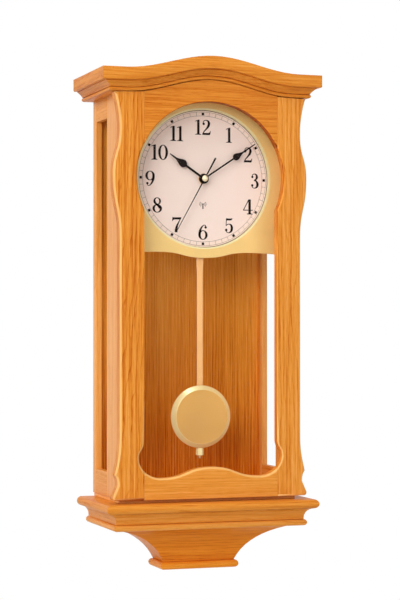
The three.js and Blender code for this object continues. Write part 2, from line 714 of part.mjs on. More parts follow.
function buildCatch() {
  const z = [CATCH_HEIGHT - CATCH_LENGTH / 2, CATCH_HEIGHT + CATCH_LENGTH / 2];
  const x = [-innerHalf, -innerHalf + CATCH_WIDTH];
  const strikeBack = doorRear - STRIKE_THICK;
  const magnetFront = strikeBack - CLEARANCE;
  add("catch_magnet", block(x, [-magnetFront, -magnetFront + CATCH_DEPTH], z), darkPlastic);
  const strikeX = [-innerHalf + 2 * CLEARANCE, -glassHalf - 2 * CLEARANCE];
  add("catch_strike", block(strikeX, [-doorRear, -strikeBack], z), steel);
}

function buildDial() {
  const half = innerHalf - CLEARANCE;
  const plateTop = dialRadius + PLATE_ABOVE;
  const edge = -dialRadius - PLATE_BELOW;
  const belly = -dialRadius - PLATE_BELLY;
  const rise = -dialRadius - PLATE_RISE;
  const riseAt = dialRadius - PLATE_RISE_IN;
  const plate = new THREE.Shape();
  plate.moveTo(-half, plateTop).lineTo(-half, edge);
  plate.quadraticCurveTo(-(half + riseAt) / 2, rise, -riseAt, rise);
  plate.bezierCurveTo(-riseAt / 2, rise, -riseAt / 2, belly, 0, belly);
  plate.bezierCurveTo(riseAt / 2, belly, riseAt / 2, rise, riseAt, rise);
  plate.quadraticCurveTo((half + riseAt) / 2, rise, half, edge);
  plate.lineTo(half, plateTop).closePath();
  const hole = new THREE.Path();
  hole.absarc(0, 0, dialRadius, 0, 2 * Math.PI, true);
  plate.holes.push(hole);
  const sheetBack = plateFront - PLATE_THICK;
  const rimBack = dialFront + CLEARANCE;
  const rimOuter = dialRadius + DIAL_RIM;
  const rimMiddle = plateFront - PLATE_THICK / 2;
  const rim = new THREE.Shape().absarc(0, 0, rimOuter, 0, 2 * Math.PI, false);
  rim.holes.push(hole);
  const facets = 36;
  const sheet = panel(plate, sheetBack, plateFront, facets);
  add("dial_plate", join(sheet, panel(rim, rimBack, rimMiddle, facets)), brass);

  const bore = bushRadius + CLEARANCE;
  const outer = dialRadius + DIAL_LAP;
  const disc = [[bore, dialBack], [outer, dialBack], [outer, dialFront], [bore, dialFront], [bore, dialBack]];
  add("dial_disc", turnedDepth(disc, 0, 0, 2 * facets), dialWhite);

  const cleatFront = sheetBack - CLEARANCE;
  const cleatZ = [edge + CLEAT_MARGIN, plateTop - CLEAT_MARGIN];
  for (const [side, sign] of Object.entries(SIDES)) {
    const x = [sign * (innerHalf - CLEAT_WIDTH), sign * innerHalf];
    add("dial_cleat_" + side, block(x, [-cleatFront, -cleatFront + CLEAT_DEPTH], cleatZ), oakInside);
  }
}

// A hand that points up: a stem, a round spade and a needle
function handShape(length, spadeAt, spadeWidth, stemWidth, hub, bore) {
  const stem = stemWidth / 2;
  const spade = spadeWidth / 2;
  const needle = NEEDLE_WIDTH / 2;
  const tip = TIP_WIDTH / 2;
  const lean = Math.asin(stem / hub);
  const shoulder = Math.asin(stem / spade);
  const neck = spadeAt + SPADE_TAPER * spade;
  const swell = [spadeAt + (SPADE_TAPER * spade) / 3, spadeAt + (SPADE_TAPER * spade) / 2];
  const shape = new THREE.Shape();
  shape.absarc(0, 0, hub, Math.PI / 2 - lean, Math.PI / 2 + lean, true);
  shape.absarc(0, spadeAt, spade, (3 * Math.PI) / 2 - shoulder, Math.PI, true);
  shape.bezierCurveTo(-spade, swell[0], -needle, swell[1], -needle, neck);
  shape.lineTo(-tip, length).lineTo(tip, length).lineTo(needle, neck);
  shape.bezierCurveTo(needle, swell[1], spade, swell[0], spade, spadeAt);
  shape.absarc(0, spadeAt, spade, 2 * Math.PI, (3 * Math.PI) / 2 + shoulder, true);
  shape.closePath();
  shape.holes.push(new THREE.Path().absarc(0, 0, bore, 0, 2 * Math.PI, false));
  return shape;
}

function secondShape(length, bore) {
  const half = SECOND_WIDTH / 2;
  const tail = SECOND_TAIL_WIDTH / 2;
  const lean = Math.asin(half / SECOND_HUB);
  const shape = new THREE.Shape();
  shape.absarc(0, 0, SECOND_HUB, -Math.PI / 2 + lean, Math.PI / 2 - lean, false);
  shape.lineTo(half / 2, length).lineTo(-half / 2, length);
  shape.absarc(0, 0, SECOND_HUB, Math.PI / 2 + lean, (3 * Math.PI) / 2 - lean, false);
  shape.lineTo(-tail, -SECOND_TAIL).lineTo(tail, -SECOND_TAIL);
  shape.closePath();
  shape.holes.push(new THREE.Path().absarc(0, 0, bore, 0, 2 * Math.PI, true));
  return shape;
}

function buildHands() {
  const layer = (shape, back) => panel(shape, back, back + HAND_THICK, 10);
  const { degToRad } = THREE.MathUtils;
  const hourLength = dialRadius - HOUR_MARGIN;
  const hourBore = hourTube + CLEARANCE;
  const hourSpade = hourLength - HOUR_SPADE_BACK;
  const hour = handShape(hourLength, hourSpade, HOUR_SPADE_WIDTH, HOUR_STEM, HOUR_HUB, hourBore);
  add("hour_hand", layer(hour, hourHandBack), handBlack, degToRad(HOUR_HAND_DEGREES));
  const minuteLength = dialRadius - MINUTE_MARGIN;
  const minuteBore = minuteTube + CLEARANCE;
  const minuteSpade = minuteLength - MINUTE_SPADE_BACK;
  const minute = handShape(
    minuteLength, minuteSpade, MINUTE_SPADE_WIDTH, MINUTE_STEM, MINUTE_HUB, minuteBore,
  );
  add("minute_hand", layer(minute, minuteHandBack), handBlack, degToRad(MINUTE_HAND_DEGREES));
  const second = secondShape(dialRadius - SECOND_MARGIN, SECOND_ARBOR_RADIUS + CLEARANCE);
  add("second_hand", layer(second, secondHandBack), handBlack, degToRad(SECOND_HAND_DEGREES));
  const capBack = secondHandBack + HAND_THICK + CLEARANCE;
  const dome = arc([0, capBack], [CAP_RADIUS, CAP_HEIGHT], 0, 90, 4);
  dome[dome.length - 1][0] = 0;
  add("hand_cap", turnedDepth([[0, capBack], ...dome]), brass);
}

// A toothed wheel as a front-view outline with a round bore
function wheelShape(radius, teeth, bore) {
  const shape = new THREE.Shape();
  for (let i = 0; i < 2 * teeth; i++) {
    const angle = (Math.PI * i) / teeth;
    const r = i % 2 ? radius - TOOTH_DEPTH : radius;
    if (i === 0) shape.moveTo(r, 0);
    else shape.lineTo(r * Math.cos(angle), r * Math.sin(angle));
  }
  shape.closePath();
  shape.holes.push(new THREE.Path().absarc(0, 0, bore, 0, 2 * Math.PI, true));
  return shape;
}

// A tube along the depth on the hands' axis
function tube(bore, radius, back, front) {
  const profile = [[bore, back], [radius, back], [radius, front], [bore, front], [bore, back]];
  return turnedDepth(profile, 0, 0, BORE_SEGMENTS);
}

// Where the motion wheel's post stands, up and to the right of the hands' axis
const motionX = MOTION_DISTANCE * Math.SQRT1_2;
const motionZ = MOTION_DISTANCE * Math.SQRT1_2;
// Wheel radii share each centre distance by their teeth; the tips stay a clearance apart
const reach = MOTION_DISTANCE - CLEARANCE;
const cannonRadius = (reach * CANNON_TEETH) / (CANNON_TEETH + MOTION_TEETH);
const motionRadius = reach - cannonRadius;
const motionPinion = (reach * MOTION_PINION_TEETH) / (MOTION_PINION_TEETH + HOUR_TEETH);
const hourRadius = reach - motionPinion;

function buildHousing() {
  const housingZ = [HOUSING_BOTTOM, HOUSING_TOP];
  const shell = block([-housingHalf, housingHalf], [-housingFront, -coverFront], housingZ);
  const innerHalfWidth = housingHalf - HOUSING_WALL;
  const cavity = block(
    [-innerHalfWidth, innerHalfWidth],
    [-housingInner, -coverFront + HOUSING_WALL],
    [HOUSING_BOTTOM + HOUSING_WALL, HOUSING_TOP - HOUSING_WALL],
  );
  const swing = Math.tan(THREE.MathUtils.degToRad(SWING_DEGREES)) * (PIVOT_HEIGHT - HOUSING_BOTTOM);
  const slotHalf = HANGER_ARM_WIDTH / 2 + swing + 1;
  const slot = block(
    [-slotHalf, slotHalf],
    [-armFront - 1, -armBack + 1],
    [HOUSING_BOTTOM - 1, HOUSING_BOTTOM + HOUSING_WALL + 1],
  );
  const bush = rod(bushRadius, housingInner, nutFront);
  const bore = rod(bushBore, coverFront, nutFront + 1);
  const pivotPost = rod(POST_RADIUS, armBack - CLEARANCE, housingInner + HOUSING_WALL / 2, 0, PIVOT_HEIGHT);
  const motionBack = motionLayer - WHEEL_THICK - CLEARANCE;
  const motionPost = rod(POST_RADIUS, motionBack, housingInner + HOUSING_WALL / 2, motionX, motionZ);
  const body = join(cut(shell, cavity, slot), bush, pivotPost, motionPost);
  add("movement_housing", cut(body, bore), darkPlastic);

  const batteryRight = -innerHalfWidth + 2 * BATTERY_RADIUS + 2 * CLEARANCE;
  const batteryHalf = BATTERY_LENGTH / 2 + BATTERY_NUB + 1;
  const cover = cut(
    block([-housingHalf, housingHalf], [-coverFront, -coverBack], [HOUSING_BOTTOM, HOUSING_TOP]),
    block([-innerHalfWidth, batteryRight], [-coverFront - 1, -coverBack + 1], [-batteryHalf, batteryHalf]),
    ...Object.values(BUTTON_PLACES).map(
      ([x, z]) => rod(BUTTON_RADIUS + CLEARANCE, coverBack - 1, coverFront + 1, x, z),
    ),
  );
  add("movement_cover", cover, darkPlastic);

  const nut = new THREE.Shape();
  for (let i = 0; i < 6; i++) {
    const angle = (Math.PI * i) / 3;
    const [x, z] = [NUT_RADIUS * Math.cos(angle), NUT_RADIUS * Math.sin(angle)];
    if (i === 0) nut.moveTo(x, z);
    else nut.lineTo(x, z);
  }
  nut.closePath();
  nut.holes.push(new THREE.Path().absarc(0, 0, bushRadius + CLEARANCE, 0, 2 * Math.PI, true));
  add("fixing_nut", panel(nut, dialFront, nutFront, BORE_SEGMENTS / 2), brass);
}

function buildWheels() {
  const hourTip = hourHandBack + HAND_THICK;
  const minuteTip = minuteHandBack + HAND_THICK;
  const secondTip = secondHandBack + HAND_THICK;
  const layerBack = (front) => front - WHEEL_THICK;
  const disc = (radius, teeth, bore, front) => {
    const outline = wheelShape(radius, teeth, bore);
    return panel(outline, layerBack(front), front, 8);
  };

  const hour = join(
    disc(hourRadius, HOUR_TEETH, hourTubeBore, hourLayer),
    tube(hourTubeBore, hourTube, layerBack(hourLayer), hourTip),
  );
  add("hour_wheel", hour, palePlastic);

  const cannonOutline = wheelShape(cannonRadius, CANNON_TEETH, minuteTubeBore);
  const cannon = panel(cannonOutline, layerBack(centreLayer), motionLayer, 8);
  const centre = join(
    disc(CENTRE_WHEEL_RADIUS, CENTRE_TEETH, minuteTubeBore, centreLayer),
    cannon,
    tube(minuteTubeBore, minuteTube, layerBack(centreLayer), minuteTip),
  );
  add("centre_wheel", centre, palePlastic);

  const arborBack = layerBack(secondLayer);
  const second = join(
    panel(wheelShape(SECOND_WHEEL_RADIUS, SECOND_TEETH, SECOND_ARBOR_RADIUS / 2), arborBack, secondLayer, 8),
    rod(SECOND_ARBOR_RADIUS, arborBack - WHEEL_THICK, secondTip),
  );
  add("second_wheel", second, palePlastic);

  const bore = POST_RADIUS + CLEARANCE;
  const motion = join(
    disc(motionRadius, MOTION_TEETH, bore, motionLayer),
    panel(wheelShape(motionPinion, MOTION_PINION_TEETH, bore), layerBack(motionLayer), hourLayer, 8),
  );
  add("motion_wheel", motion.translate(motionX, 0, motionZ), palePlastic);
}

// A stepping motor: stator plate on the housing's front wall with its coil on a core
function motor(right, bottom) {
  const plateBack = housingInner - CLEARANCE - MOTOR_PLATE;
  const plateY = [-plateBack - MOTOR_PLATE, -plateBack];
  const plate = block([right - MOTOR_WIDTH, right], plateY, [bottom, bottom + MOTOR_HEIGHT]);
  const inset = MOTOR_HEIGHT / 6;
  const flange = MOTOR_COIL_RADIUS + MOTOR_FLANGE;
  const spoolTop = MOTOR_HEIGHT - 2 * inset;
  const spool = turned([
    [0, 0], [flange, 0], [flange, MOTOR_FLANGE], [MOTOR_COIL_RADIUS, MOTOR_FLANGE],
    [MOTOR_COIL_RADIUS, spoolTop - MOTOR_FLANGE], [flange, spoolTop - MOTOR_FLANGE],
    [flange, spoolTop], [0, spoolTop],
  ], BORE_SEGMENTS);
  spool.rotateX(Math.PI / 2).translate(right - flange, -plateBack + MOTOR_COIL_RADIUS, bottom + inset);
  return join(plate, spool);
}

function buildElectrics() {
  const wall = housingHalf - HOUSING_WALL - CLEARANCE;
  const ceiling = HOUSING_TOP - HOUSING_WALL - CLEARANCE;
  const floor = HOUSING_BOTTOM + HOUSING_WALL + CLEARANCE;
  add("second_motor", motor(wall, floor), copper);
  add("minute_motor", motor(wall, floor + MOTOR_HEIGHT + BOARD_MARGIN), copper);

  const boardLeft = -wall + 2 * BATTERY_RADIUS + 2 * CLEARANCE;
  add("circuit_board", block([boardLeft, wall], [-boardFront, -boardBack], [floor, ceiling]), boardGreen);

  const battery = turned([
    [0, -BATTERY_LENGTH / 2], [BATTERY_RADIUS, -BATTERY_LENGTH / 2], [BATTERY_RADIUS, BATTERY_LENGTH / 2],
    [BATTERY_RADIUS / 3, BATTERY_LENGTH / 2], [BATTERY_RADIUS / 3, BATTERY_LENGTH / 2 + BATTERY_NUB],
    [0, BATTERY_LENGTH / 2 + BATTERY_NUB],
  ]);
  const batteryDepth = boardFront + BATTERY_RADIUS + CLEARANCE;
  battery.rotateX(Math.PI / 2).translate(-wall + BATTERY_RADIUS, -batteryDepth, 0);
  add("battery", battery, batterySleeve);

  const half = ANTENNA_LENGTH / 2;
  const coil = ANTENNA_COIL_LENGTH / 2;
  const antenna = turned([
    [0, -half], [ANTENNA_RADIUS, -half], [ANTENNA_RADIUS, -coil], [ANTENNA_COIL_RADIUS, -coil],
    [ANTENNA_COIL_RADIUS, coil], [ANTENNA_RADIUS, coil], [ANTENNA_RADIUS, half], [0, half],
  ], BORE_SEGMENTS);
  const antennaDepth = boardFront + ANTENNA_COIL_RADIUS + CLEARANCE;
  antenna.rotateZ(Math.PI / 2).translate(0, -antennaDepth, ceiling - ANTENNA_COIL_RADIUS);
  add("antenna", antenna, ferrite);

  const flangeFront = coverFront + CLEARANCE + BUTTON_FLANGE_THICK;
  for (const [name, [x, z]] of Object.entries(BUTTON_PLACES)) {
    const flange = BUTTON_RADIUS + BUTTON_FLANGE;
    const button = [
      [0, coverBack - BUTTON_PROUD], [BUTTON_RADIUS, coverBack - BUTTON_PROUD],
      [BUTTON_RADIUS, flangeFront - BUTTON_FLANGE_THICK], [flange, flangeFront - BUTTON_FLANGE_THICK],
      [flange, flangeFront], [0, flangeFront],
    ];
    add(name, turnedDepth(button, x, z, BORE_SEGMENTS), palePlastic);
  }

  const coilFront = armBack - MAGNET_LENGTH - COIL_GAP;
  const coilBack = boardFront + CLEARANCE;
  const ring = [
    [COIL_BORE, coilBack], [COIL_RADIUS, coilBack], [COIL_RADIUS, coilFront],
    [COIL_BORE, coilFront], [COIL_BORE, coilBack],
  ];
  add("pendulum_coil", turnedDepth(ring, 0, PIVOT_HEIGHT - MAGNET_DROP, BORE_SEGMENTS), copper);
}

function buildPendulum() {
  const half = HANGER_ARM_WIDTH / 2;
  const arm = new THREE.Shape();
  arm.absarc(0, PIVOT_HEIGHT, half, 0, Math.PI, false);
  const armEnd = PIVOT_HEIGHT - HANGER_ARM_LENGTH;
  arm.lineTo(-half, armEnd).lineTo(half, armEnd).closePath();
  arm.holes.push(new THREE.Path().absarc(0, PIVOT_HEIGHT, POST_RADIUS + CLEARANCE, 0, 2 * Math.PI, true));
  const hanger = join(
    panel(arm, armBack, armFront, 8),
    rod(
      MAGNET_RADIUS, armBack - MAGNET_LENGTH, armBack + HANGER_ARM_THICK / 2, 0, PIVOT_HEIGHT - MAGNET_DROP,
    ),
    rod(HOOK_RADIUS, rodBack - 1, armBack + HANGER_ARM_THICK / 2, 0, hookHeight),
  );
  add("pendulum_hanger", hanger, palePlastic);

  const head = ROD_HEAD_WIDTH / 2;
  const width = ROD_WIDTH / 2;
  const rodTop = hookHeight + head;
  const strip = new THREE.Shape();
  strip.moveTo(-head, rodTop - head).lineTo(-head, ROD_HEAD_END).lineTo(-width, ROD_TAPER_END);
  strip.lineTo(-width, bobBottom + NUT_HEIGHT).lineTo(width, bobBottom + NUT_HEIGHT);
  strip.lineTo(width, ROD_TAPER_END).lineTo(head, ROD_HEAD_END).lineTo(head, rodTop - head);
  strip.absarc(0, rodTop - head, head, 0, Math.PI, false);
  strip.holes.push(new THREE.Path().absarc(0, hookHeight, HOOK_RADIUS + CLEARANCE, 0, 2 * Math.PI, true));
  const tip = nutTop - NUT_HEIGHT - THREAD_TIP;
  const thread = turned([
    [0, tip], [THREAD_RADIUS, tip],
    [THREAD_RADIUS, bobBottom + 2 * NUT_HEIGHT], [0, bobBottom + 2 * NUT_HEIGHT],
  ], BORE_SEGMENTS);
  thread.rotateX(Math.PI / 2).translate(0, rodMiddle, 0);
  add("pendulum_rod", join(panel(strip, rodBack, rodFront, 8), thread), brass);

  const bobFront = rodBack + BOB_THICK - CLEARANCE;
  const bobBack = bobFront - BOB_THICK;
  const shoulder = bobFront - BOB_BEVEL;
  const bob = turnedDepth([
    [0, bobBack], [BOB_FACE_RADIUS, bobBack], [BOB_RADIUS, bobBack + BOB_BEVEL], [BOB_RADIUS, shoulder],
    [BOB_FACE_RADIUS, bobFront], [0, bobFront],
  ], 0, BOB_HEIGHT, 2 * ROUND_SEGMENTS);
  const channelHalf = width + CLEARANCE;
  const channelZ = [BOB_HEIGHT - 2 * BOB_RADIUS, BOB_HEIGHT + 2 * BOB_RADIUS];
  const channelFront = rodMiddle - Math.max(THREAD_RADIUS, ROD_THICK / 2) - CLEARANCE;
  const channel = block([-channelHalf, channelHalf], [channelFront, -bobBack + 1], channelZ);
  add("pendulum_bob", cut(bob, channel), brass);

  const bore = THREAD_RADIUS + CLEARANCE;
  const bottom = nutTop - NUT_HEIGHT;
  const nut = turned([
    [bore, bottom], [RATING_NUT_RADIUS, bottom], [RATING_NUT_RADIUS, nutTop], [bore, nutTop], [bore, bottom],
  ], BORE_SEGMENTS);
  add("rating_nut", nut.rotateX(Math.PI / 2).translate(0, rodMiddle, 0), brass);
}

buildCase();
buildCrown();
buildBase();
buildDoor();
buildHinges();
buildCatch();
buildDial();
buildHands();
buildHousing();
buildWheels();
buildElectrics();
buildPendulum();

export default clock;
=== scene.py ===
import math

import bmesh
import bpy
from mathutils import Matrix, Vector


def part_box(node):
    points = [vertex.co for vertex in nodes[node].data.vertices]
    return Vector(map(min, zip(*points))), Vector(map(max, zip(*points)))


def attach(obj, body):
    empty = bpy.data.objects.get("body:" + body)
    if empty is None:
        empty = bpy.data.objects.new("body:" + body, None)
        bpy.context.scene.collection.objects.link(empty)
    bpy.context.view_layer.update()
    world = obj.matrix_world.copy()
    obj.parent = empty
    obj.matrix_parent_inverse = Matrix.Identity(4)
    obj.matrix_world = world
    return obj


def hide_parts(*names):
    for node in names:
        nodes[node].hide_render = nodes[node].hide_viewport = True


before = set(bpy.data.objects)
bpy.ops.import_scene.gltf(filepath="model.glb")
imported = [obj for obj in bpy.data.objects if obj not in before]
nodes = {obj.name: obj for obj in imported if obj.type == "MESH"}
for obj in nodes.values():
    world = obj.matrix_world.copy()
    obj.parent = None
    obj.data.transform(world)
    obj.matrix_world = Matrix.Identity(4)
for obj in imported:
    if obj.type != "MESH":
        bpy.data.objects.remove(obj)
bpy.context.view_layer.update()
scene = bpy.context.scene

MM = 0.001
HANDS_Z = -75 * MM
DIAL_EDGE = 80.4 * MM


def srgb(red, green, blue):
    """A colour written in display values, as a linear colour with alpha."""
    linear = []
    for value in (red, green, blue):
        part = value / 255
        linear.append(part / 12.92 if part <= 0.04045 else ((part + 0.055) / 1.055) ** 2.4)
    return (*linear, 1.0)


SEED_STEP = (7.31, 3.17, 5.93)


class Graph:
    """A material and short ways to add nodes to it."""

    def __init__(self, name):
        self.material = bpy.data.materials.new(name)
        self.material.use_nodes = True
        self.tree = self.material.node_tree
        self.shader = self.tree.nodes["Principled BSDF"]

    def feed(self, socket, value):
        if isinstance(value, bpy.types.NodeSocket):
            self.tree.links.new(value, socket)
        else:
            socket.default_value = value

    def put(self, kind, inputs, **settings):
        made = self.tree.nodes.new("ShaderNode" + kind)
        for key, value in settings.items():
            setattr(made, key, value)
        for key, value in inputs.items():
            self.feed(made.inputs[key], value)
        return made

    def math(self, operation, first, second=0.0, clamp=False):
        return self.put("Math", {0: first, 1: second}, operation=operation, use_clamp=clamp).outputs[0]

    def vector(self, operation, first, second):
        return self.put("VectorMath", {0: first, 1: second}, operation=operation).outputs[0]

    def noise(self, place, scales, detail, roughness, seed):
        stretched = self.vector("MULTIPLY", place, scales)
        shifted = self.vector("ADD", stretched, tuple(seed * step for step in SEED_STEP))
        inputs = {"Vector": shifted, "Scale": 1.0, "Detail": detail, "Roughness": roughness}
        return self.put("TexNoise", inputs).outputs["Fac"]

    def ramp(self, factor, stops):
        made = self.put("ValToRGB", {"Fac": factor})
        elements = made.color_ramp.elements
        while len(elements) < len(stops):
            elements.new(0.5)
        for element, (position, colour) in zip(elements, stops):
            element.position = position
            element.color = colour if isinstance(colour, tuple) else (colour, colour, colour, 1.0)
        return made.outputs["Color"]

    def blend(self, factor, first, second):
        """One colour at factor 0, the other at 1."""
        made = self.put("Mix", {}, data_type="RGBA")
        for index, value in ((0, factor), (6, first), (7, second)):
            self.feed(made.inputs[index], value)
        return made.outputs[2]

    def spread(self, factor, low, high):
        """A factor from 0 to 1 turned into low to high."""
        scaled = self.math("MULTIPLY", factor, high - low)
        return self.math("ADD", scaled, low)

    def relief(self, height, distance, strength):
        inputs = {"Height": height, "Distance": distance, "Strength": strength}
        self.feed(self.shader.inputs["Normal"], self.put("Bump", inputs).outputs[0])

    def set(self, **values):
        for key, value in values.items():
            self.feed(self.shader.inputs[key.replace("_", " ")], value)
        return self.material


def object_place(graph):
    return graph.put("TexCoord", {}).outputs["Object"]


OAK_RAMP = (
    (0.0, srgb(130, 48, 0)),
    (0.3, srgb(190, 93, 8)),
    (0.6, srgb(226, 143, 51)),
    (1.0, srgb(249, 179, 98)),
)
PLAIN_TONE = (0.54, 0.84)
FIBRE_TONE = 0.22
WAVE_DEPTH = 0.012
RIPPLE_DEPTH = 0.005
PORE_DEPTH = 0.0002
PORE_STRENGTH = 0.35
LACQUER_ROUGHNESS = (0.34, 0.5)
EDGE_HIGHLIGHT_OAK = srgb(255, 214, 140)
EDGE_HIGHLIGHT_SHARE = 0.5
ARCH_REACH = 0.114
HOLLOW_SHADE_REACH = 0.006
GRAIN_ORDER = {"X": (2, 1, 0), "Y": (2, 0, 1), "Z": (0, 1, 2)}


def oak(name, grain, seed, pith, lean, ring=0.0042, figure=0.12, mitre=None, tint=0.0, painted_shade_slope=0.0,
        streaks=0.26, gloss=0.08, painted_edge_highlight=False, painted_hollow_shade=0.0, painted_arch_shade=0.0, fine=420, painted_shade_colour=None):
    """Lacquered oak with its growth rings about a pith line that runs near the board."""
    graph = Graph(name)
    axes = graph.put("SeparateXYZ", {0: object_place(graph)}).outputs

    def along(letter):
        parts = [axes[index] for index in GRAIN_ORDER[letter]]
        return graph.put("CombineXYZ", dict(enumerate(parts))).outputs[0]

    board = along(grain)
    if mitre:
        # Past the mitre line the moulding's side length has its own grain
        half, front = mitre
        side = graph.math("SUBTRACT", graph.math("ABSOLUTE", axes[0]), half)
        ahead = graph.math("SUBTRACT", graph.math("MULTIPLY", axes[1], -1.0), front)
        mixed = graph.put("Mix", {}, data_type="VECTOR")
        graph.feed(mixed.inputs[0], graph.math("GREATER_THAN", side, ahead))
        graph.feed(mixed.inputs[4], board)
        graph.feed(mixed.inputs[5], along("Y"))
        board = mixed.outputs[1]
    u, v, w = graph.put("SeparateXYZ", {0: board}).outputs
    wave = graph.noise(board, (16, 16, 4.5), 2.0, 0.5, seed)
    ripple = graph.noise(board, (110, 110, 28), 2.0, 0.5, seed + 1)
    broad = graph.noise(board, (26, 26, 3), 2.0, 0.5, seed + 2)
    streak = graph.noise(board, (fine, fine, 8), 3.0, 0.65, seed + 5)
    fibre = graph.noise(board, (1100, 1100, 26), 3.0, 0.6, seed + 3)
    pore = graph.noise(board, (1300, 1300, 85), 2.0, 0.5, seed + 4)
    off_u = graph.math("ADD", graph.math("SUBTRACT", u, pith[0]), graph.math("MULTIPLY", w, lean[0]))
    off_v = graph.math("ADD", graph.math("SUBTRACT", v, pith[1]), graph.math("MULTIPLY", w, lean[1]))
    reach = graph.math("SQRT", graph.math("ADD", graph.math("MULTIPLY", off_u, off_u),
                                          graph.math("MULTIPLY", off_v, off_v)))
    bent = graph.math("ADD", reach, graph.math("MULTIPLY", wave, WAVE_DEPTH))
    bent = graph.math("ADD", bent, graph.math("MULTIPLY", ripple, RIPPLE_DEPTH))
    saw = graph.math("FRACT", graph.math("DIVIDE", bent, ring))
    lines = graph.ramp(saw, ((0.0, 0.2), (0.06, 1.0), (0.18, 0.35), (0.55, 0.0), (1.0, 0.1)))
    fading = graph.noise(board, (120, 120, 11), 2.0, 0.5, seed + 6)
    early = graph.math("MULTIPLY", lines, graph.ramp(fading, ((0.36, 0.4), (0.62, 1.0))))
    open_pores = graph.ramp(pore, ((0.5, 0.0), (0.64, 1.0)))
    dashes = graph.math("MULTIPLY", open_pores, graph.spread(early, 0.45, 1.0))
    tone = graph.math("ADD", graph.spread(broad, PLAIN_TONE[0] + tint, PLAIN_TONE[1] + tint),
                      graph.spread(fibre, -FIBRE_TONE, FIBRE_TONE))
    if painted_shade_slope:
        # Painted shade: the tone changes along the board, and on the back panel it darkens towards the
        # foot
        tone = graph.math("ADD", tone, graph.math("MULTIPLY", w, painted_shade_slope))
    if painted_hollow_shade:
        # Painted shade: ambient occlusion darkens the wood in the hollows of a moulding
        shade_from_occlusion = graph.put("AmbientOcclusion", {"Distance": HOLLOW_SHADE_REACH}, samples=8, only_local=True)
        tone = graph.math("ADD", tone, graph.spread(shade_from_occlusion.outputs["AO"], -painted_hollow_shade, 0.0))
    tone = graph.math("ADD", tone, graph.spread(streak, -streaks, streaks))
    contrast = graph.spread(broad, figure * 0.7, figure * 1.7)
    tone = graph.math("SUBTRACT", tone, graph.math("MULTIPLY", early, contrast))
    tone = graph.math("SUBTRACT", tone, graph.math("MULTIPLY", dashes, 0.1 + figure * 0.3), clamp=True)
    if painted_arch_shade or painted_edge_highlight:
        # Masks for the painted arch shade and edge highlight: how far a face is turned to the front, and 0
        # at the arch to 1 away from it
        normal = graph.put("TexCoord", {}).outputs["Normal"]
        facing = graph.math("ABSOLUTE", graph.put("SeparateXYZ", {0: normal}).outputs[1])
        flat = graph.put("CombineXYZ", {0: axes[0], 2: axes[2]}).outputs[0]
        radius = graph.put("VectorMath", {0: flat, 1: (0.0, 0.0, HANDS_Z)}, operation="DISTANCE")
        share = graph.math("DIVIDE", radius.outputs["Value"], ARCH_REACH)
        open_air = graph.ramp(share, ((0.86, 0.0), (1.0, 1.0)))
    if painted_arch_shade:
        # Painted shade: the inner faces of the arch's opening are darker than the front face
        edge = graph.ramp(facing, ((0.0, painted_arch_shade), (0.3, painted_arch_shade), (0.8, 0.0)))
        arch = graph.math("SUBTRACT", 1.0, open_air)
        tone = graph.math("SUBTRACT", tone, graph.math("MULTIPLY", edge, arch), clamp=True)
    colour = graph.ramp(tone, OAK_RAMP)
    if painted_shade_colour:
        # Painted shade: a deeper, redder colour over the wood's colour, for parts that sit in shade
        colour = graph.vector("MULTIPLY", colour, painted_shade_colour)
    if painted_edge_highlight:
        # Painted highlight: rounded edges away from the arch are paler than the faces beside them
        edge_highlight_mask = graph.ramp(facing, ((0.1, 0.0), (0.45, 1.0), (0.9, 1.0), (0.995, 0.0)))
        highlight_share = graph.math("MULTIPLY", graph.math("MULTIPLY", edge_highlight_mask, open_air), EDGE_HIGHLIGHT_SHARE)
        colour = graph.blend(highlight_share, colour, EDGE_HIGHLIGHT_OAK)
    height = graph.math("SUBTRACT", graph.math("MULTIPLY", fibre, 0.35), dashes)
    graph.relief(height, PORE_DEPTH, PORE_STRENGTH)
    roughness = graph.spread(dashes, *LACQUER_ROUGHNESS)
    return graph.set(Base_Color=colour, Roughness=roughness, Specular_IOR_Level=gloss)


BRUSHED_DEPTH = 0.00004
BRUSHED_STRENGTH = 0.35
CLOUD_SHADE = 0.9
BAND_POLISH = 0.12
GRAIN_DEPTH = 0.0001
PANE_ALPHA = 0.012
WIRE_STRENGTH = 0.5
WAVE_LENGTH = 0.314
SLEEVE_SCALE = -6.0


def gold(name, colour, roughness, brushed, seed, metallic=1.0, band=None):
    """Gold-coloured sheet or turned metal with fine brushing, and perhaps a smoother ring with a painted
    highlight in a paler colour.
    """
    graph = Graph(name)
    place = object_place(graph)
    lines = graph.noise(place, brushed, 3.0, 0.6, seed)
    clouds = graph.noise(place, (30, 30, 30), 2.0, 0.5, seed + 1)
    deep = tuple(part * CLOUD_SHADE for part in colour[:3]) + (1.0,)
    shade = graph.ramp(clouds, ((0.3, deep), (0.7, colour)))
    graph.relief(lines, BRUSHED_DEPTH, BRUSHED_STRENGTH)
    rough = graph.spread(lines, roughness - 0.05, roughness + 0.06)
    # The ring is smoother, and its paler colour is a painted highlight
    if band:
        height, inner, outer, pale = band
        centred = graph.vector("SUBTRACT", place, (0.0, 0.0, height))
        flat = graph.vector("MULTIPLY", centred, (1.0, 0.0, 1.0))
        radius = graph.put("VectorMath", {0: flat}, operation="LENGTH").outputs["Value"]
        inside = graph.math("GREATER_THAN", radius, inner)
        within = graph.math("MULTIPLY", inside, graph.math("LESS_THAN", radius, outer))
        shade = graph.blend(within, shade, pale)
        rough = graph.math("SUBTRACT", rough, graph.math("MULTIPLY", within, BAND_POLISH))
    return graph.set(Base_Color=shade, Roughness=rough, Metallic=metallic)


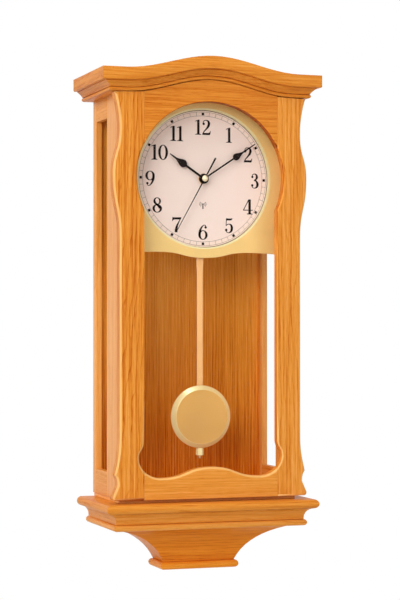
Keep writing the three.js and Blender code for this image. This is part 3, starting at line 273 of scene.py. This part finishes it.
def plain(name, low, high, scales, roughness, relief=0.0, metallic=0.0, specular=0.5):
    """A moulded or painted surface: fine mottling in colour, gloss and height."""
    graph = Graph(name)
    place = object_place(graph)
    grains = graph.noise(place, scales, 3.0, 0.6, len(name))
    shade = graph.ramp(grains, ((0.3, low), (0.7, high)))
    if relief:
        graph.relief(grains, GRAIN_DEPTH, relief)
    rough = graph.spread(grains, roughness - 0.05, roughness + 0.05)
    return graph.set(Base_Color=shade, Roughness=rough, Metallic=metallic, Specular_IOR_Level=specular)


def pane_glass(name):
    """Clear thin glass with faint smears in its gloss."""
    graph = Graph(name)
    smears = graph.noise(object_place(graph), (18, 18, 9), 3.0, 0.6, 2.0)
    rough = graph.spread(smears, 0.02, 0.06)
    return graph.set(Base_Color=srgb(20, 26, 24), Roughness=rough, Alpha=PANE_ALPHA)


def wound(name, low, high, pitch):
    """Enamelled wire in fine turns round the piece's depth."""
    graph = Graph(name)
    place = object_place(graph)
    inputs = {"Vector": place, "Scale": WAVE_LENGTH / pitch, "Distortion": 0.4}
    turns = graph.put("TexWave", inputs, wave_type="BANDS", bands_direction="Y").outputs["Fac"]
    shade = graph.ramp(turns, ((0.2, low), (0.8, high)))
    graph.relief(turns, GRAIN_DEPTH, WIRE_STRENGTH)
    return graph.set(Base_Color=shade, Roughness=0.35, Metallic=0.8)


def sleeve(name):
    """A battery's printed film: dark body with one plain pale band."""
    graph = Graph(name)
    axes = graph.put("SeparateXYZ", {0: object_place(graph)}).outputs
    depth = graph.math("MULTIPLY", axes[2], SLEEVE_SCALE)
    band = graph.ramp(depth, ((0.42, srgb(40, 44, 52)), (0.45, srgb(196, 142, 66))))
    grains = graph.noise(object_place(graph), (700, 700, 700), 2.0, 0.5, 5.0)
    return graph.set(Base_Color=band, Roughness=graph.spread(grains, 0.28, 0.4), Metallic=0.3)


STEEL = plain("zinc_steel", srgb(168, 172, 178), srgb(206, 209, 212), (240, 240, 240), 0.38, 0.15, 1.0)
BRASS = gold("hinge_brass_finish", srgb(222, 178, 96), 0.3, (90, 90, 1600), 3.0)
DIAL_RING = 1.8 * MM
# The plate's pale ring round the dial's hole is a painted highlight
GOLD = gold("gold_sheet_finish", srgb(248, 208, 128), 0.5, (50, 50, 1900), 1.0, 0.1,
            (HANDS_Z, 0.0, DIAL_EDGE + DIAL_RING, srgb(240, 226, 170)))
GOLD_ROD = gold("gold_rod_finish", srgb(208, 158, 104), 0.32, (1900, 1900, 40), 2.0)
BOB_LOW, BOB_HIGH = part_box("pendulum_bob")
BOB_FACE = 31.6 * MM
# The bob's paler rim is a painted highlight
GOLD_TURNED = gold("gold_turned_finish", srgb(214, 160, 80), 0.34, (500, 500, 500), 4.0, 0.3,
                   ((BOB_LOW.z + BOB_HIGH.z) / 2, BOB_FACE, 1.0, srgb(255, 238, 172)))
GOLD_CAP = gold("gold_cap_finish", srgb(250, 232, 196), 0.3, (700, 700, 700), 6.0, 0.5)
DIAL = plain("dial_paint", srgb(244, 220, 206), srgb(249, 227, 214), (900, 900, 900), 0.55, 0.05)
BLACK = plain("hand_paint", srgb(16, 8, 5), srgb(26, 14, 9), (1200, 1200, 1200), 0.5, 0.08, specular=0.1)
INK = plain("dial_ink", srgb(20, 8, 4), srgb(32, 16, 10), (1500, 1500, 1500), 0.5, specular=0.1)
FINE_INK = plain("dial_fine_ink", srgb(96, 72, 64), srgb(116, 90, 82), (1500, 1500, 1500), 0.55,
                 specular=0.1)
DARK = plain("moulded_dark", srgb(30, 31, 34), srgb(42, 43, 46), (1100, 1100, 1100), 0.5, 0.4)
PALE = plain("moulded_pale", srgb(222, 220, 210), srgb(236, 234, 226), (1100, 1100, 1100), 0.45, 0.3)
BOARD = plain("board_lacquer", srgb(22, 84, 48), srgb(40, 108, 62), (420, 420, 420), 0.3, 0.2)
FERRITE = plain("ferrite_grain", srgb(52, 50, 50), srgb(74, 72, 70), (800, 800, 800), 0.6, 0.3)
COPPER = wound("wire_turns", srgb(120, 58, 28), srgb(206, 118, 66), 0.0006)
SLEEVE = sleeve("battery_film")
GLASS = pane_glass("clear_pane")

SHARP = math.radians(34)
FLAT = math.radians(0.4)
WELD_DISTANCE = 2e-6


def smooth_shading(mesh):
    """Drops the imported normals, so that the bevels make new ones."""
    for spare in ("custom_normal", "sharp_edge", "sharp_face"):
        if spare in mesh.attributes:
            mesh.attributes.remove(mesh.attributes[spare])
    mesh.polygons.foreach_set("use_smooth", [True] * len(mesh.polygons))


def dress(node, material, edge, segments=2):
    """A CAD node keeps its shape, and gets its material and slightly broken edges."""
    piece = nodes[node]
    mesh = piece.data
    mesh.materials.clear()
    mesh.materials.append(material)
    smooth_shading(mesh)
    weld = piece.modifiers.new("weld", "WELD")
    weld.merge_threshold = WELD_DISTANCE
    flat = piece.modifiers.new("flat", "DECIMATE")
    flat.decimate_type = "DISSOLVE"
    flat.angle_limit = FLAT
    bevel = piece.modifiers.new("edge", "BEVEL")
    bevel.width = edge
    bevel.segments = segments
    bevel.limit_method = "ANGLE"
    bevel.angle_limit = SHARP
    bevel.use_clamp_overlap = True
    bevel.harden_normals = True


def link(name, mesh, material, body):
    """A new piece that moves with a body."""
    piece = bpy.data.objects.new(name, mesh)
    scene.collection.objects.link(piece)
    mesh.materials.clear()
    mesh.materials.append(material)
    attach(piece, body)
    return piece


DOOR_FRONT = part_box("door_stile_left")[0].y
JOINT_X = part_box("door_top_rail")[1].x
ON_PLANE = 2e-5
UPWARD = 0.6
TOP_Z = HANDS_Z + 0.07
# The top rail comes nearer to the crown than its solid, and the right stile clears it as the door swings
TOP_CLOSE = 0.0003
TOP_EASE = -0.0002
JOINT_WIDTH = 0.00012
END_WIDTH = 0.0004
ROUND_WIDTH = 0.0032
RIGHT_ROUND_WIDTH = 0.0022
ARCH_ROUND_WIDTH = 0.0014
ROUND_SEGMENTS = 6


def on_front(edge):
    return all(abs(vertex.co.y - DOOR_FRONT) < ON_PLANE for vertex in edge.verts)


def on_joint(edge):
    return all(abs(abs(vertex.co.x) - JOINT_X) < ON_PLANE for vertex in edge.verts)


def on_top(face):
    return face.normal.z > UPWARD and face.calc_center_median().z > TOP_Z


def on_end(edge):
    """At the top of the door, where its edge is nearly square."""
    return any(on_top(face) for face in edge.link_faces)


def rounded(node, name, material, free=ROUND_WIDTH, lift=0.0):
    """A door part again, with its front edges rounded over and a fine line at the frame's joints."""
    mesh = nodes[node].data.copy()
    shape = bmesh.new()
    shape.from_mesh(mesh)
    bmesh.ops.remove_doubles(shape, verts=shape.verts, dist=WELD_DISTANCE)
    bmesh.ops.dissolve_limit(shape, angle_limit=FLAT, verts=shape.verts, edges=shape.edges)
    shape.normal_update()
    for vertex in {vertex for face in shape.faces if on_top(face) for vertex in face.verts}:
        vertex.co.z += lift
    weight = shape.edges.layers.float.new("bevel_weight_edge")
    for edge in shape.edges:
        if len(edge.link_faces) == 2 and edge.calc_face_angle() > SHARP and on_front(edge):
            width = JOINT_WIDTH if on_joint(edge) else END_WIDTH if on_end(edge) else free
            edge[weight] = width / free
    shape.to_mesh(mesh)
    shape.free()
    smooth_shading(mesh)
    mesh.set_sharp_from_angle(angle=SHARP)
    mesh.name = name
    piece = link(name, mesh, material, "door")
    bevel = piece.modifiers.new("edge", "BEVEL")
    bevel.width = free
    bevel.segments = ROUND_SEGMENTS
    bevel.limit_method = "WEIGHT"
    bevel.use_clamp_overlap = False
    bevel.harden_normals = True
    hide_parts(node)


# Oak parts: grain along the length of each board
# The rounded stiles and bottom rail carry a painted edge highlight, and the stiles and top rail a painted
# arch shade
rounded("door_stile_left", "door_stile_left_rounded",
        oak("oak_stile_left", "Z", 1.3, (-0.13, -0.08), (0.02, 0.06), 0.0038, 0.2,
            tint=-0.13, streaks=0.42, painted_edge_highlight=True, painted_arch_shade=0.25))
rounded("door_stile_right", "door_stile_right_rounded",
        oak("oak_stile_right", "Z", 2.9, (0.2, -0.02), (0.01, 0.02), 0.0038, 0.2,
            tint=-0.04, streaks=0.42, painted_edge_highlight=True, painted_arch_shade=0.25),
        free=RIGHT_ROUND_WIDTH, lift=TOP_EASE)
# The top rail's darker tone is partly the wood's and partly painted shade under the crown
rounded("door_top_rail", "door_top_rail_rounded",
        oak("oak_top_rail", "X", 4.1, (-0.3, -0.05), (0.01, 0.02), 0.0042, 0.1, tint=-0.16, painted_arch_shade=0.35),
        free=ARCH_ROUND_WIDTH, lift=TOP_CLOSE)
rounded("door_bottom_rail", "door_bottom_rail_rounded",
        oak("oak_bottom_rail", "X", 5.7, (-0.72, -0.06), (0.02, 0.03), 0.0042, 0.12, painted_edge_highlight=True))

OAK_EDGE = 0.0007
PANEL_EDGE = 0.0004
PLATE_EDGE = 0.0003
METAL_EDGE = 0.0002
HAND_EDGE = 0.00018
FINE_EDGE = 0.0001
MOULDED_EDGE = 0.0005
BASE_MITRE = (0.1285, 0.1334)
# The right side is a paler oak than the left, as painted light on its inner face
SIDE_OAK = {"left": oak("oak_side_left", "Z", 7.7, (-0.3, -0.02), (0.01, 0.03), tint=0.06, gloss=0.25),
            "right": oak("oak_side_right", "Z", 8.9, (0.3, -0.02), (0.01, 0.03), tint=0.18, gloss=0.15)}
RAIL_OAK = oak("oak_side_rail", "Y", 9.3, (-0.3, 0.2), (0.02, 0.02))
# The hollow darkening on the return, crown, shelf, moulding and foot is painted shade
RETURN_OAK = oak("oak_return", "Y", 10.9, (-0.1, 0.3), (0.02, 0.02), tint=-0.12, painted_hollow_shade=0.35)
for side in ("left", "right"):
    dress("side_rear_stile_" + side, SIDE_OAK[side], OAK_EDGE)
    dress("side_front_stile_" + side, SIDE_OAK[side], OAK_EDGE)
    dress("side_top_rail_" + side, RAIL_OAK, OAK_EDGE)
    dress("side_bottom_rail_" + side, RAIL_OAK, OAK_EDGE)
    dress("crown_return_" + side, RETURN_OAK, OAK_EDGE)
    dress("dial_cleat_" + side, SIDE_OAK[side], OAK_EDGE)
dress("crown_front", oak("oak_crown", "X", 12.1, (0.25, -0.11), (0.02, 0.03), figure=0.08,
                         tint=-0.11, painted_hollow_shade=0.4), OAK_EDGE)
# The top board is a paler oak as painted light, so that the gap above the door looks less dark
dress("case_top_board", oak("oak_top_board", "X", 13.3, (0.1, -0.05), (0.02, 0.03), tint=0.25), OAK_EDGE)
dress("case_bottom_board", oak("oak_bottom_board", "X", 14.7, (-0.5, -0.05), (0.02, 0.03)), OAK_EDGE)
# The back panel darkens towards its foot and has a deeper, redder colour, both as painted shade
dress("back_panel", oak("oak_back", "Z", 15.1, (0.3, 0.09), (0.01, 0.02), 0.0034, 0.16, tint=0.31,
                        painted_shade_slope=1.2, streaks=0.6, fine=900, painted_shade_colour=(1.0, 0.94, 0.53)), PANEL_EDGE)
# The spacer is a paler oak as painted light, so that the gap under the door looks less dark
dress("base_spacer", oak("oak_spacer", "X", 16.7, (-0.7, -0.05), (0.02, 0.03), tint=0.4), PANEL_EDGE)
dress("base_shelf", oak("oak_shelf", "X", 17.3, (-0.6, -0.2), (0.02, 0.03), mitre=BASE_MITRE,
                        tint=-0.12, painted_hollow_shade=0.4), OAK_EDGE)
dress("base_moulding", oak("oak_moulding", "X", 18.9, (-0.6, -0.2), (0.02, 0.03), 0.0036, mitre=BASE_MITRE,
                           tint=0.02, painted_hollow_shade=0.4), OAK_EDGE)
# The pendant's darker tone, and the deeper, redder colour of the pendant and its foot, are painted shade
dress("pendant_block", oak("oak_pendant", "X", 19.3, (-0.62, -0.03), (0.03, 0.03), tint=-0.13,
                           streaks=0.22, painted_shade_colour=(1.05, 0.9, 0.5)), OAK_EDGE)
dress("pendant_foot", oak("oak_foot", "X", 20.9, (-0.7, -0.03), (0.03, 0.03), tint=0.02, painted_hollow_shade=0.3,
                          painted_shade_colour=(1.08, 0.97, 0.55)), OAK_EDGE)

# Dial, hands and pendulum
dress("dial_plate", GOLD, PLATE_EDGE)
dress("dial_disc", DIAL, PLATE_EDGE)
for node in ("hour_hand", "minute_hand", "second_hand"):
    dress(node, BLACK, HAND_EDGE)
dress("hand_cap", GOLD_CAP, METAL_EDGE)
dress("fixing_nut", BRASS, METAL_EDGE)
dress("pendulum_rod", GOLD_ROD, PLATE_EDGE)
dress("pendulum_bob", GOLD_TURNED, PANEL_EDGE, 3)
dress("rating_nut", GOLD_TURNED, METAL_EDGE)
dress("pendulum_hanger", PALE, PLATE_EDGE)

# Door fittings and hanger
dress("door_glass", GLASS, METAL_EDGE)
for place in ("upper", "lower"):
    dress("hinge_case_leaf_" + place, BRASS, METAL_EDGE)
    dress("hinge_door_leaf_" + place, BRASS, METAL_EDGE)
    dress("hinge_pin_" + place, STEEL, METAL_EDGE)
dress("catch_magnet", DARK, MOULDED_EDGE)
dress("catch_strike", STEEL, METAL_EDGE)
dress("hanger_plate", STEEL, METAL_EDGE)

# Movement
for node in ("movement_housing", "movement_cover"):
    dress(node, DARK, MOULDED_EDGE)
for node in ("set_button", "receive_button"):
    dress(node, PALE, FINE_EDGE)
for node in ("hour_wheel", "centre_wheel", "second_wheel", "motion_wheel"):
    dress(node, PALE, FINE_EDGE)
for node in ("second_motor", "minute_motor", "pendulum_coil"):
    dress(node, COPPER, METAL_EDGE)
dress("circuit_board", BOARD, FINE_EDGE)
dress("antenna", FERRITE, PLATE_EDGE)
dress("battery", SLEEVE, PANEL_EDGE)

# Dial print: figures built from strokes with thick uprights and thin hairlines, in millimetres
FIGURE_HEIGHT = 17.7
PRINT_LIFT = 0.00001
PRINT_DEPTH = 0.00006
PRINT_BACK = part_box("dial_disc")[0].y - PRINT_LIFT
PRINT_FRONT = PRINT_BACK - PRINT_DEPTH
PATH_STEPS = 8
OVAL_STEPS = 48
BALL_STEPS = 20


def between(a, b, c, d, t):
    """A smooth value from b to c, with a before and d after them."""
    square = (2 * a - 5 * b + 4 * c - d) * t * t
    cube = (3 * b - a - 3 * c + d) * t ** 3
    return 0.5 * (2 * b + (c - a) * t + square + cube)


def smooth_path(points):
    """Points of a stroke with its widths, smoothed through the given ones."""
    path = []
    for index in range(len(points) - 1):
        before = points[max(index - 1, 0)]
        start, end = points[index], points[index + 1]
        after = points[min(index + 2, len(points) - 1)]
        for step in range(PATH_STEPS):
            t = step / PATH_STEPS
            path.append(tuple(between(*values, t) for values in zip(before, start, end, after)))
    path.append(points[-1])
    return path


def ribbon(points):
    """Two matching borders of a stroke of changing width."""
    path = smooth_path(points) if len(points) > 2 else points
    left, right = [], []
    for index, (x, z, width) in enumerate(path):
        ahead = path[min(index + 1, len(path) - 1)]
        behind = path[max(index - 1, 0)]
        run = Vector((ahead[0] - behind[0], ahead[1] - behind[1])).normalized()
        left.append((x - run.y * width / 2, z + run.x * width / 2))
        right.append((x + run.y * width / 2, z - run.x * width / 2))
    return ("ribbon", left, right)


def oval(centre, radii, count):
    return [(centre[0] + radii[0] * math.cos(2 * math.pi * k / count),
             centre[1] + radii[1] * math.sin(2 * math.pi * k / count)) for k in range(count)]


def loop(centre, outer, inner, count=OVAL_STEPS):
    """The outer and inner borders of a closed stroke."""
    return ("loop", oval(centre, outer, count), oval(centre, inner, count))


def patch(*points):
    return ("patch", list(points), None)


def ball(x, z, radius):
    return patch(*oval((x, z), (radius, radius), BALL_STEPS))


def turned_about(shapes, x, z):
    """Shapes turned upside down about a point."""
    def flip(points):
        return points and [(2 * x - a, 2 * z - b) for a, b in points]

    return [(kind, flip(first), flip(second)) for kind, first, second in shapes]


SIX = [
    loop((6.1, 5.55), (5.75, 5.55), (2.8, 4.75)),
    ribbon([(1.85, 5.6, 2.95), (2.25, 9.6, 2.8), (4.1, 14.0, 1.9), (6.9, 16.95, 1.0), (8.9, 16.7, 0.9),
            (9.7, 15.2, 0.9)]),
    ball(9.4, 14.5, 1.45),
]
FIGURES = {
    "0": (12.0, [loop((6, 8.85), (6, 8.85), (2.95, 8.0))]),
    "1": (7.4, [patch((2.5, 0.4), (5.5, 0.4), (5.5, 17.7), (4.5, 17.7), (2.5, 16.6)),
                patch((0, 0), (7.4, 0), (7.4, 0.6), (5.5, 1.5), (2.5, 1.5), (0, 0.6)),
                patch((0, 15.3), (2.6, 15.9), (4.6, 17.7), (3.9, 17.7), (0, 16.0))]),
    "2": (11.0, [ribbon([(1.9, 13.0, 1.0), (1.75, 14.8, 0.9), (3.2, 16.8, 0.9), (5.5, 17.2, 1.0),
                         (8.0, 16.0, 2.2), (8.8, 13.2, 3.1), (7.8, 10.0, 2.6), (5.4, 6.9, 1.7),
                         (2.8, 4.0, 1.2), (0.9, 1.0, 1.0)]),
                 ball(2.3, 13.0, 1.45),
                 patch((0.2, 0), (9.9, 0), (10.5, 1.6), (11.0, 4.6), (10.2, 4.6), (9.5, 3.0), (8.4, 2.5),
                       (2.6, 2.5), (1.2, 1.6))]),
    "3": (10.4, [ribbon([(2.0, 14.0, 0.9), (2.5, 16.0, 0.9), (4.6, 17.25, 0.9), (7.1, 16.2, 2.0),
                         (7.9, 13.6, 2.9), (6.9, 11.0, 2.0), (4.2, 9.6, 0.9)]),
                 ribbon([(4.2, 9.6, 0.9), (7.3, 8.5, 2.0), (8.7, 4.9, 3.1), (7.6, 1.75, 2.2),
                         (4.8, 0.45, 0.9), (2.5, 1.4, 0.9), (1.8, 3.2, 0.9)]),
                 ball(2.3, 13.7, 1.4), ball(2.1, 3.7, 1.5)]),
    "4": (12.7, [patch((7.1, 17.7), (8.6, 17.7), (1.5, 5.4), (0.3, 5.4), (0.3, 4.9)),
                 patch((0.3, 4.5), (12.5, 4.5), (12.5, 5.5), (0.3, 5.5)),
                 patch((7.1, 0.4), (10.1, 0.4), (10.1, 17.7), (7.1, 17.7)),
                 patch((5.0, 0), (12.2, 0), (12.2, 0.6), (10.1, 1.5), (7.1, 1.5), (5.0, 0.6))]),
    "5": (10.9, [patch((1.9, 17.5), (2.4, 14.8), (4.5, 14.9), (7.2, 14.9), (9.0, 15.4), (10.0, 17.7),
                       (8.0, 17.2), (5.0, 17.1)),
                 ribbon([(2.3, 17.0, 0.9), (1.9, 8.6, 0.9)]),
                 ribbon([(1.8, 8.5, 0.9), (3.5, 10.1, 0.9), (5.8, 10.6, 1.0), (8.2, 9.2, 2.2),
                         (9.1, 5.6, 3.0), (7.9, 1.9, 2.2), (4.9, 0.45, 0.9), (2.5, 1.5, 0.9),
                         (1.7, 3.2, 0.9)]),
                 ball(2.1, 3.7, 1.5)]),
    "6": (12.0, SIX),
    "7": (12.0, [patch((0.4, 12.9), (1.1, 12.9), (1.8, 14.2), (3.2, 14.9), (10.4, 14.9), (11.8, 16.7),
                       (11.8, 17.5), (2.2, 17.3), (1.6, 17.7), (0.9, 17.7)),
                 ribbon([(11.2, 16.6, 1.0), (8.6, 12.0, 1.3), (6.4, 7.2, 2.5), (5.5, 3.2, 3.2),
                         (5.3, 0.0, 3.4)])]),
    "8": (12.0, [loop((5.9, 13.35), (4.6, 4.35), (2.3, 3.55)),
                 loop((6.0, 4.85), (5.8, 4.85), (3.0, 4.0)),
                 ribbon([(2.6, 13.6, 2.2), (4.2, 10.5, 2.3), (7.3, 8.1, 2.6), (9.3, 5.2, 2.7)])]),
    "9": (12.0, turned_about(SIX, 6.0, FIGURE_HEIGHT / 2)),
}
FIGURE_GAP = 0.9


def moved(shapes, x, z):
    def shift(points):
        return points and [(a + x, b + z) for a, b in points]

    return [(kind, shift(first), shift(second)) for kind, first, second in shapes]


def number(text, x, z):
    """The figures of a number, centred on a point."""
    width = sum(FIGURES[letter][0] for letter in text) + FIGURE_GAP * (len(text) - 1)
    shapes = []
    start = x - width / 2
    for letter in text:
        shapes += moved(FIGURES[letter][1], start, z - FIGURE_HEIGHT / 2)
        start += FIGURE_GAP + FIGURES[letter][0]
    return shapes


def slab(shape, first, second, kind):
    """One thin closed layer of ink between the dial and its print's face."""
    def row(points, y):
        return [shape.verts.new((x * MM, y, HANDS_Z + z * MM)) for x, z in points]

    if kind == "patch":
        front, back = row(first, PRINT_FRONT), row(first, PRINT_BACK)
        shape.faces.new(front)
        shape.faces.new(back[::-1])
        for a in range(len(front)):
            b = (a + 1) % len(front)
            shape.faces.new((front[b], front[a], back[a], back[b]))
        return
    rows = [row(first, PRINT_FRONT), row(second, PRINT_FRONT),
            row(second, PRINT_BACK), row(first, PRINT_BACK)]
    count = len(first)
    closed = kind == "loop"
    for a in range(count if closed else count - 1):
        b = (a + 1) % count
        for k in range(4):
            near, far = rows[k], rows[(k + 1) % 4]
            shape.faces.new((near[a], near[b], far[b], far[a]))
    if not closed:
        shape.faces.new([line[0] for line in rows])
        shape.faces.new([line[-1] for line in rows][::-1])


def printed(name, shapes, material):
    """A piece of print that stays on the dial."""
    shape = bmesh.new()
    for kind, first, second in shapes:
        slab(shape, first, second, kind)
    bmesh.ops.recalc_face_normals(shape, faces=shape.faces)
    mesh = bpy.data.meshes.new(name)
    shape.to_mesh(mesh)
    shape.free()
    piece = link(name, mesh, material, "case")


def around(degrees, radius):
    """A point on a circle, clockwise from the top."""
    angle = math.radians(degrees)
    return radius * math.sin(angle), radius * math.cos(angle)


NUMBER_ACROSS = 64.5
NUMBER_UP = 61.3
NUMBER_DROP = 1.0
TEN_INSET = 2.9
TRACK_INNER = 73.6
TRACK_OUTER = 78.2
TRACK_LINE = 0.32
TRACK_STEPS = 144
# A thin ring of fine ink at the dial's edge is a painted shadow where the plate meets it
EDGE_SHADOW_OUTER = DIAL_EDGE / MM - 0.1
EDGE_SHADOW_INNER = DIAL_EDGE / MM - 0.8
MARK_REACH = 2.16
numbers = []
marks = []
for hour in range(1, 13):
    across, up = around(30 * hour, 1.0)
    inset = TEN_INSET if hour == 10 else 0.0
    numbers += number(str(hour), across * NUMBER_ACROSS + inset, up * NUMBER_UP - NUMBER_DROP)
    x, z = around(30 * hour, (TRACK_INNER + TRACK_OUTER) / 2)
    corners = [around(30 * hour + turn, MARK_REACH) for turn in (45, 135, 225, 315)]
    marks.append(patch(*[(x + a, z + b) for a, b in corners]))
printed("dial_numbers", numbers, INK)
printed("dial_hour_marks", marks, INK)
track = []
for radius in (TRACK_INNER, TRACK_OUTER):
    outer, inner = radius + TRACK_LINE / 2, radius - TRACK_LINE / 2
    track.append(loop((0, 0), (outer, outer), (inner, inner), TRACK_STEPS))
# The ring at the dial's edge is a painted shadow
track.append(loop((0, 0), (EDGE_SHADOW_OUTER, EDGE_SHADOW_OUTER), (EDGE_SHADOW_INNER, EDGE_SHADOW_INNER), TRACK_STEPS))
for minute in range(60):
    if minute % 5:
        ends = [around(6 * minute, radius) for radius in (TRACK_INNER, TRACK_OUTER)]
        track.append(ribbon([(x, z, TRACK_LINE) for x, z in ends]))
printed("dial_minute_track_and_edge_shadow", track, FINE_INK)

# A plain radio mast sign
MAST_Z = -31.6
MAST_TIP = MAST_Z + 2.0
WAVE_LINE = 0.5
mast = [ribbon([(0, MAST_Z - 3.6, 1.5), (0, MAST_Z + 1.0, 1.0)]), ball(0, MAST_TIP, 0.95)]
for radius in (2.4, 3.9):
    for side in (90, 270):
        bow = [around(side + turn, radius) for turn in (-42, -21, 0, 21, 42)]
        mast.append(ribbon([(a, b + MAST_TIP, WAVE_LINE) for a, b in bow]))
printed("dial_mast_sign", mast, INK)

# Floor, light and camera
FLOOR_Z = -1.0
FLOOR_RADIUS = 2.4
FLOOR_SEGMENTS = 96
FLOOR_GLOW = 0.42
AMBIENT = 0.32
AIM = Vector((0, -0.06, -0.22))


def shown_rays(tree):
    """1 for what the camera sees, also in metal and through glass, and 0 for light on the object."""
    path = tree.nodes.new("ShaderNodeLightPath")
    shown = path.outputs["Is Camera Ray"]
    for output in ("Is Glossy Ray", "Is Transmission Ray"):
        either = tree.nodes.new("ShaderNodeMath")
        either.operation = "MAXIMUM"
        tree.links.new(shown, either.inputs[0])
        tree.links.new(path.outputs[output], either.inputs[1])
        shown = either.outputs[0]
    return shown


floor_mesh = bpy.data.meshes.new("floor")
floor_shape = bmesh.new()
bmesh.ops.create_circle(floor_shape, cap_ends=True, segments=FLOOR_SEGMENTS, radius=FLOOR_RADIUS)
floor_shape.to_mesh(floor_mesh)
floor_shape.free()
floor = bpy.data.objects.new("floor", floor_mesh)
floor.location.z = FLOOR_Z
scene.collection.objects.link(floor)
floor_paint = plain("pale_floor", srgb(232, 231, 229), srgb(240, 239, 237), (3, 3, 3), 0.8)
floor_mesh.materials.append(floor_paint)
# The floor is shown paler than the light on it makes it, and adds no light to the object
floor_tree = floor_paint.node_tree
floor_glow = floor_tree.nodes.new("ShaderNodeMath")
floor_glow.operation = "MULTIPLY"
floor_glow.inputs[1].default_value = FLOOR_GLOW
floor_tree.links.new(shown_rays(floor_tree), floor_glow.inputs[0])
floor_shader = floor_tree.nodes["Principled BSDF"]
floor_shader.inputs["Emission Color"].default_value = (1, 1, 1, 1)
floor_tree.links.new(floor_glow.outputs[0], floor_shader.inputs["Emission Strength"])

world = bpy.data.worlds.new("studio")
scene.world = world
world.use_nodes = True
world_tree = world.node_tree
strength = world_tree.nodes.new("ShaderNodeMapRange")
world_tree.links.new(shown_rays(world_tree), strength.inputs["Value"])
strength.inputs["To Min"].default_value = AMBIENT
strength.inputs["To Max"].default_value = 1.0
backdrop = world_tree.nodes["Background"]
backdrop.inputs["Color"].default_value = (1, 1, 1, 1)
world_tree.links.new(strength.outputs["Result"], backdrop.inputs["Strength"])


def softbox(name, place, power, size):
    """A square lamp that faces the clock."""
    lamp = bpy.data.lights.new(name, "AREA")
    lamp.energy = power
    lamp.shape = "SQUARE"
    lamp.size = size
    holder = bpy.data.objects.new(name, lamp)
    holder.location = place
    holder.rotation_euler = (AIM - Vector(place)).to_track_quat("-Z", "Y").to_euler()
    scene.collection.objects.link(holder)


softbox("key_light", (-1.7, -2.2, 0.7), 34.5, 1.3)
softbox("left_light", (-2.3, -0.8, 1.0), 24, 1.4)
softbox("top_light", (-0.4, -1.3, 2.2), 19, 1.1)
softbox("right_light", (1.2, -2.3, 0.1), 7, 1.2)

CAMERA_YAW = math.radians(18.667)
CAMERA_PITCH = math.radians(0.776)
CAMERA_DISTANCE = 2.210424
CAMERA_AIM = Vector((0.005888, -0.06, -0.216169))
CAMERA_SENSOR = 36
CAMERA_LENS = 112.127
ahead = Vector((math.sin(CAMERA_YAW) * math.cos(CAMERA_PITCH),
                math.cos(CAMERA_YAW) * math.cos(CAMERA_PITCH),
                math.sin(CAMERA_PITCH)))
lens = bpy.data.cameras.new("camera")
lens.sensor_width = CAMERA_SENSOR
lens.lens = CAMERA_LENS
camera = bpy.data.objects.new("camera", lens)
camera.location = CAMERA_AIM - ahead * CAMERA_DISTANCE
camera.rotation_euler = ahead.to_track_quat("-Z", "Y").to_euler()
scene.collection.objects.link(camera)
scene.camera = camera

scene.view_settings.view_transform = "Standard"
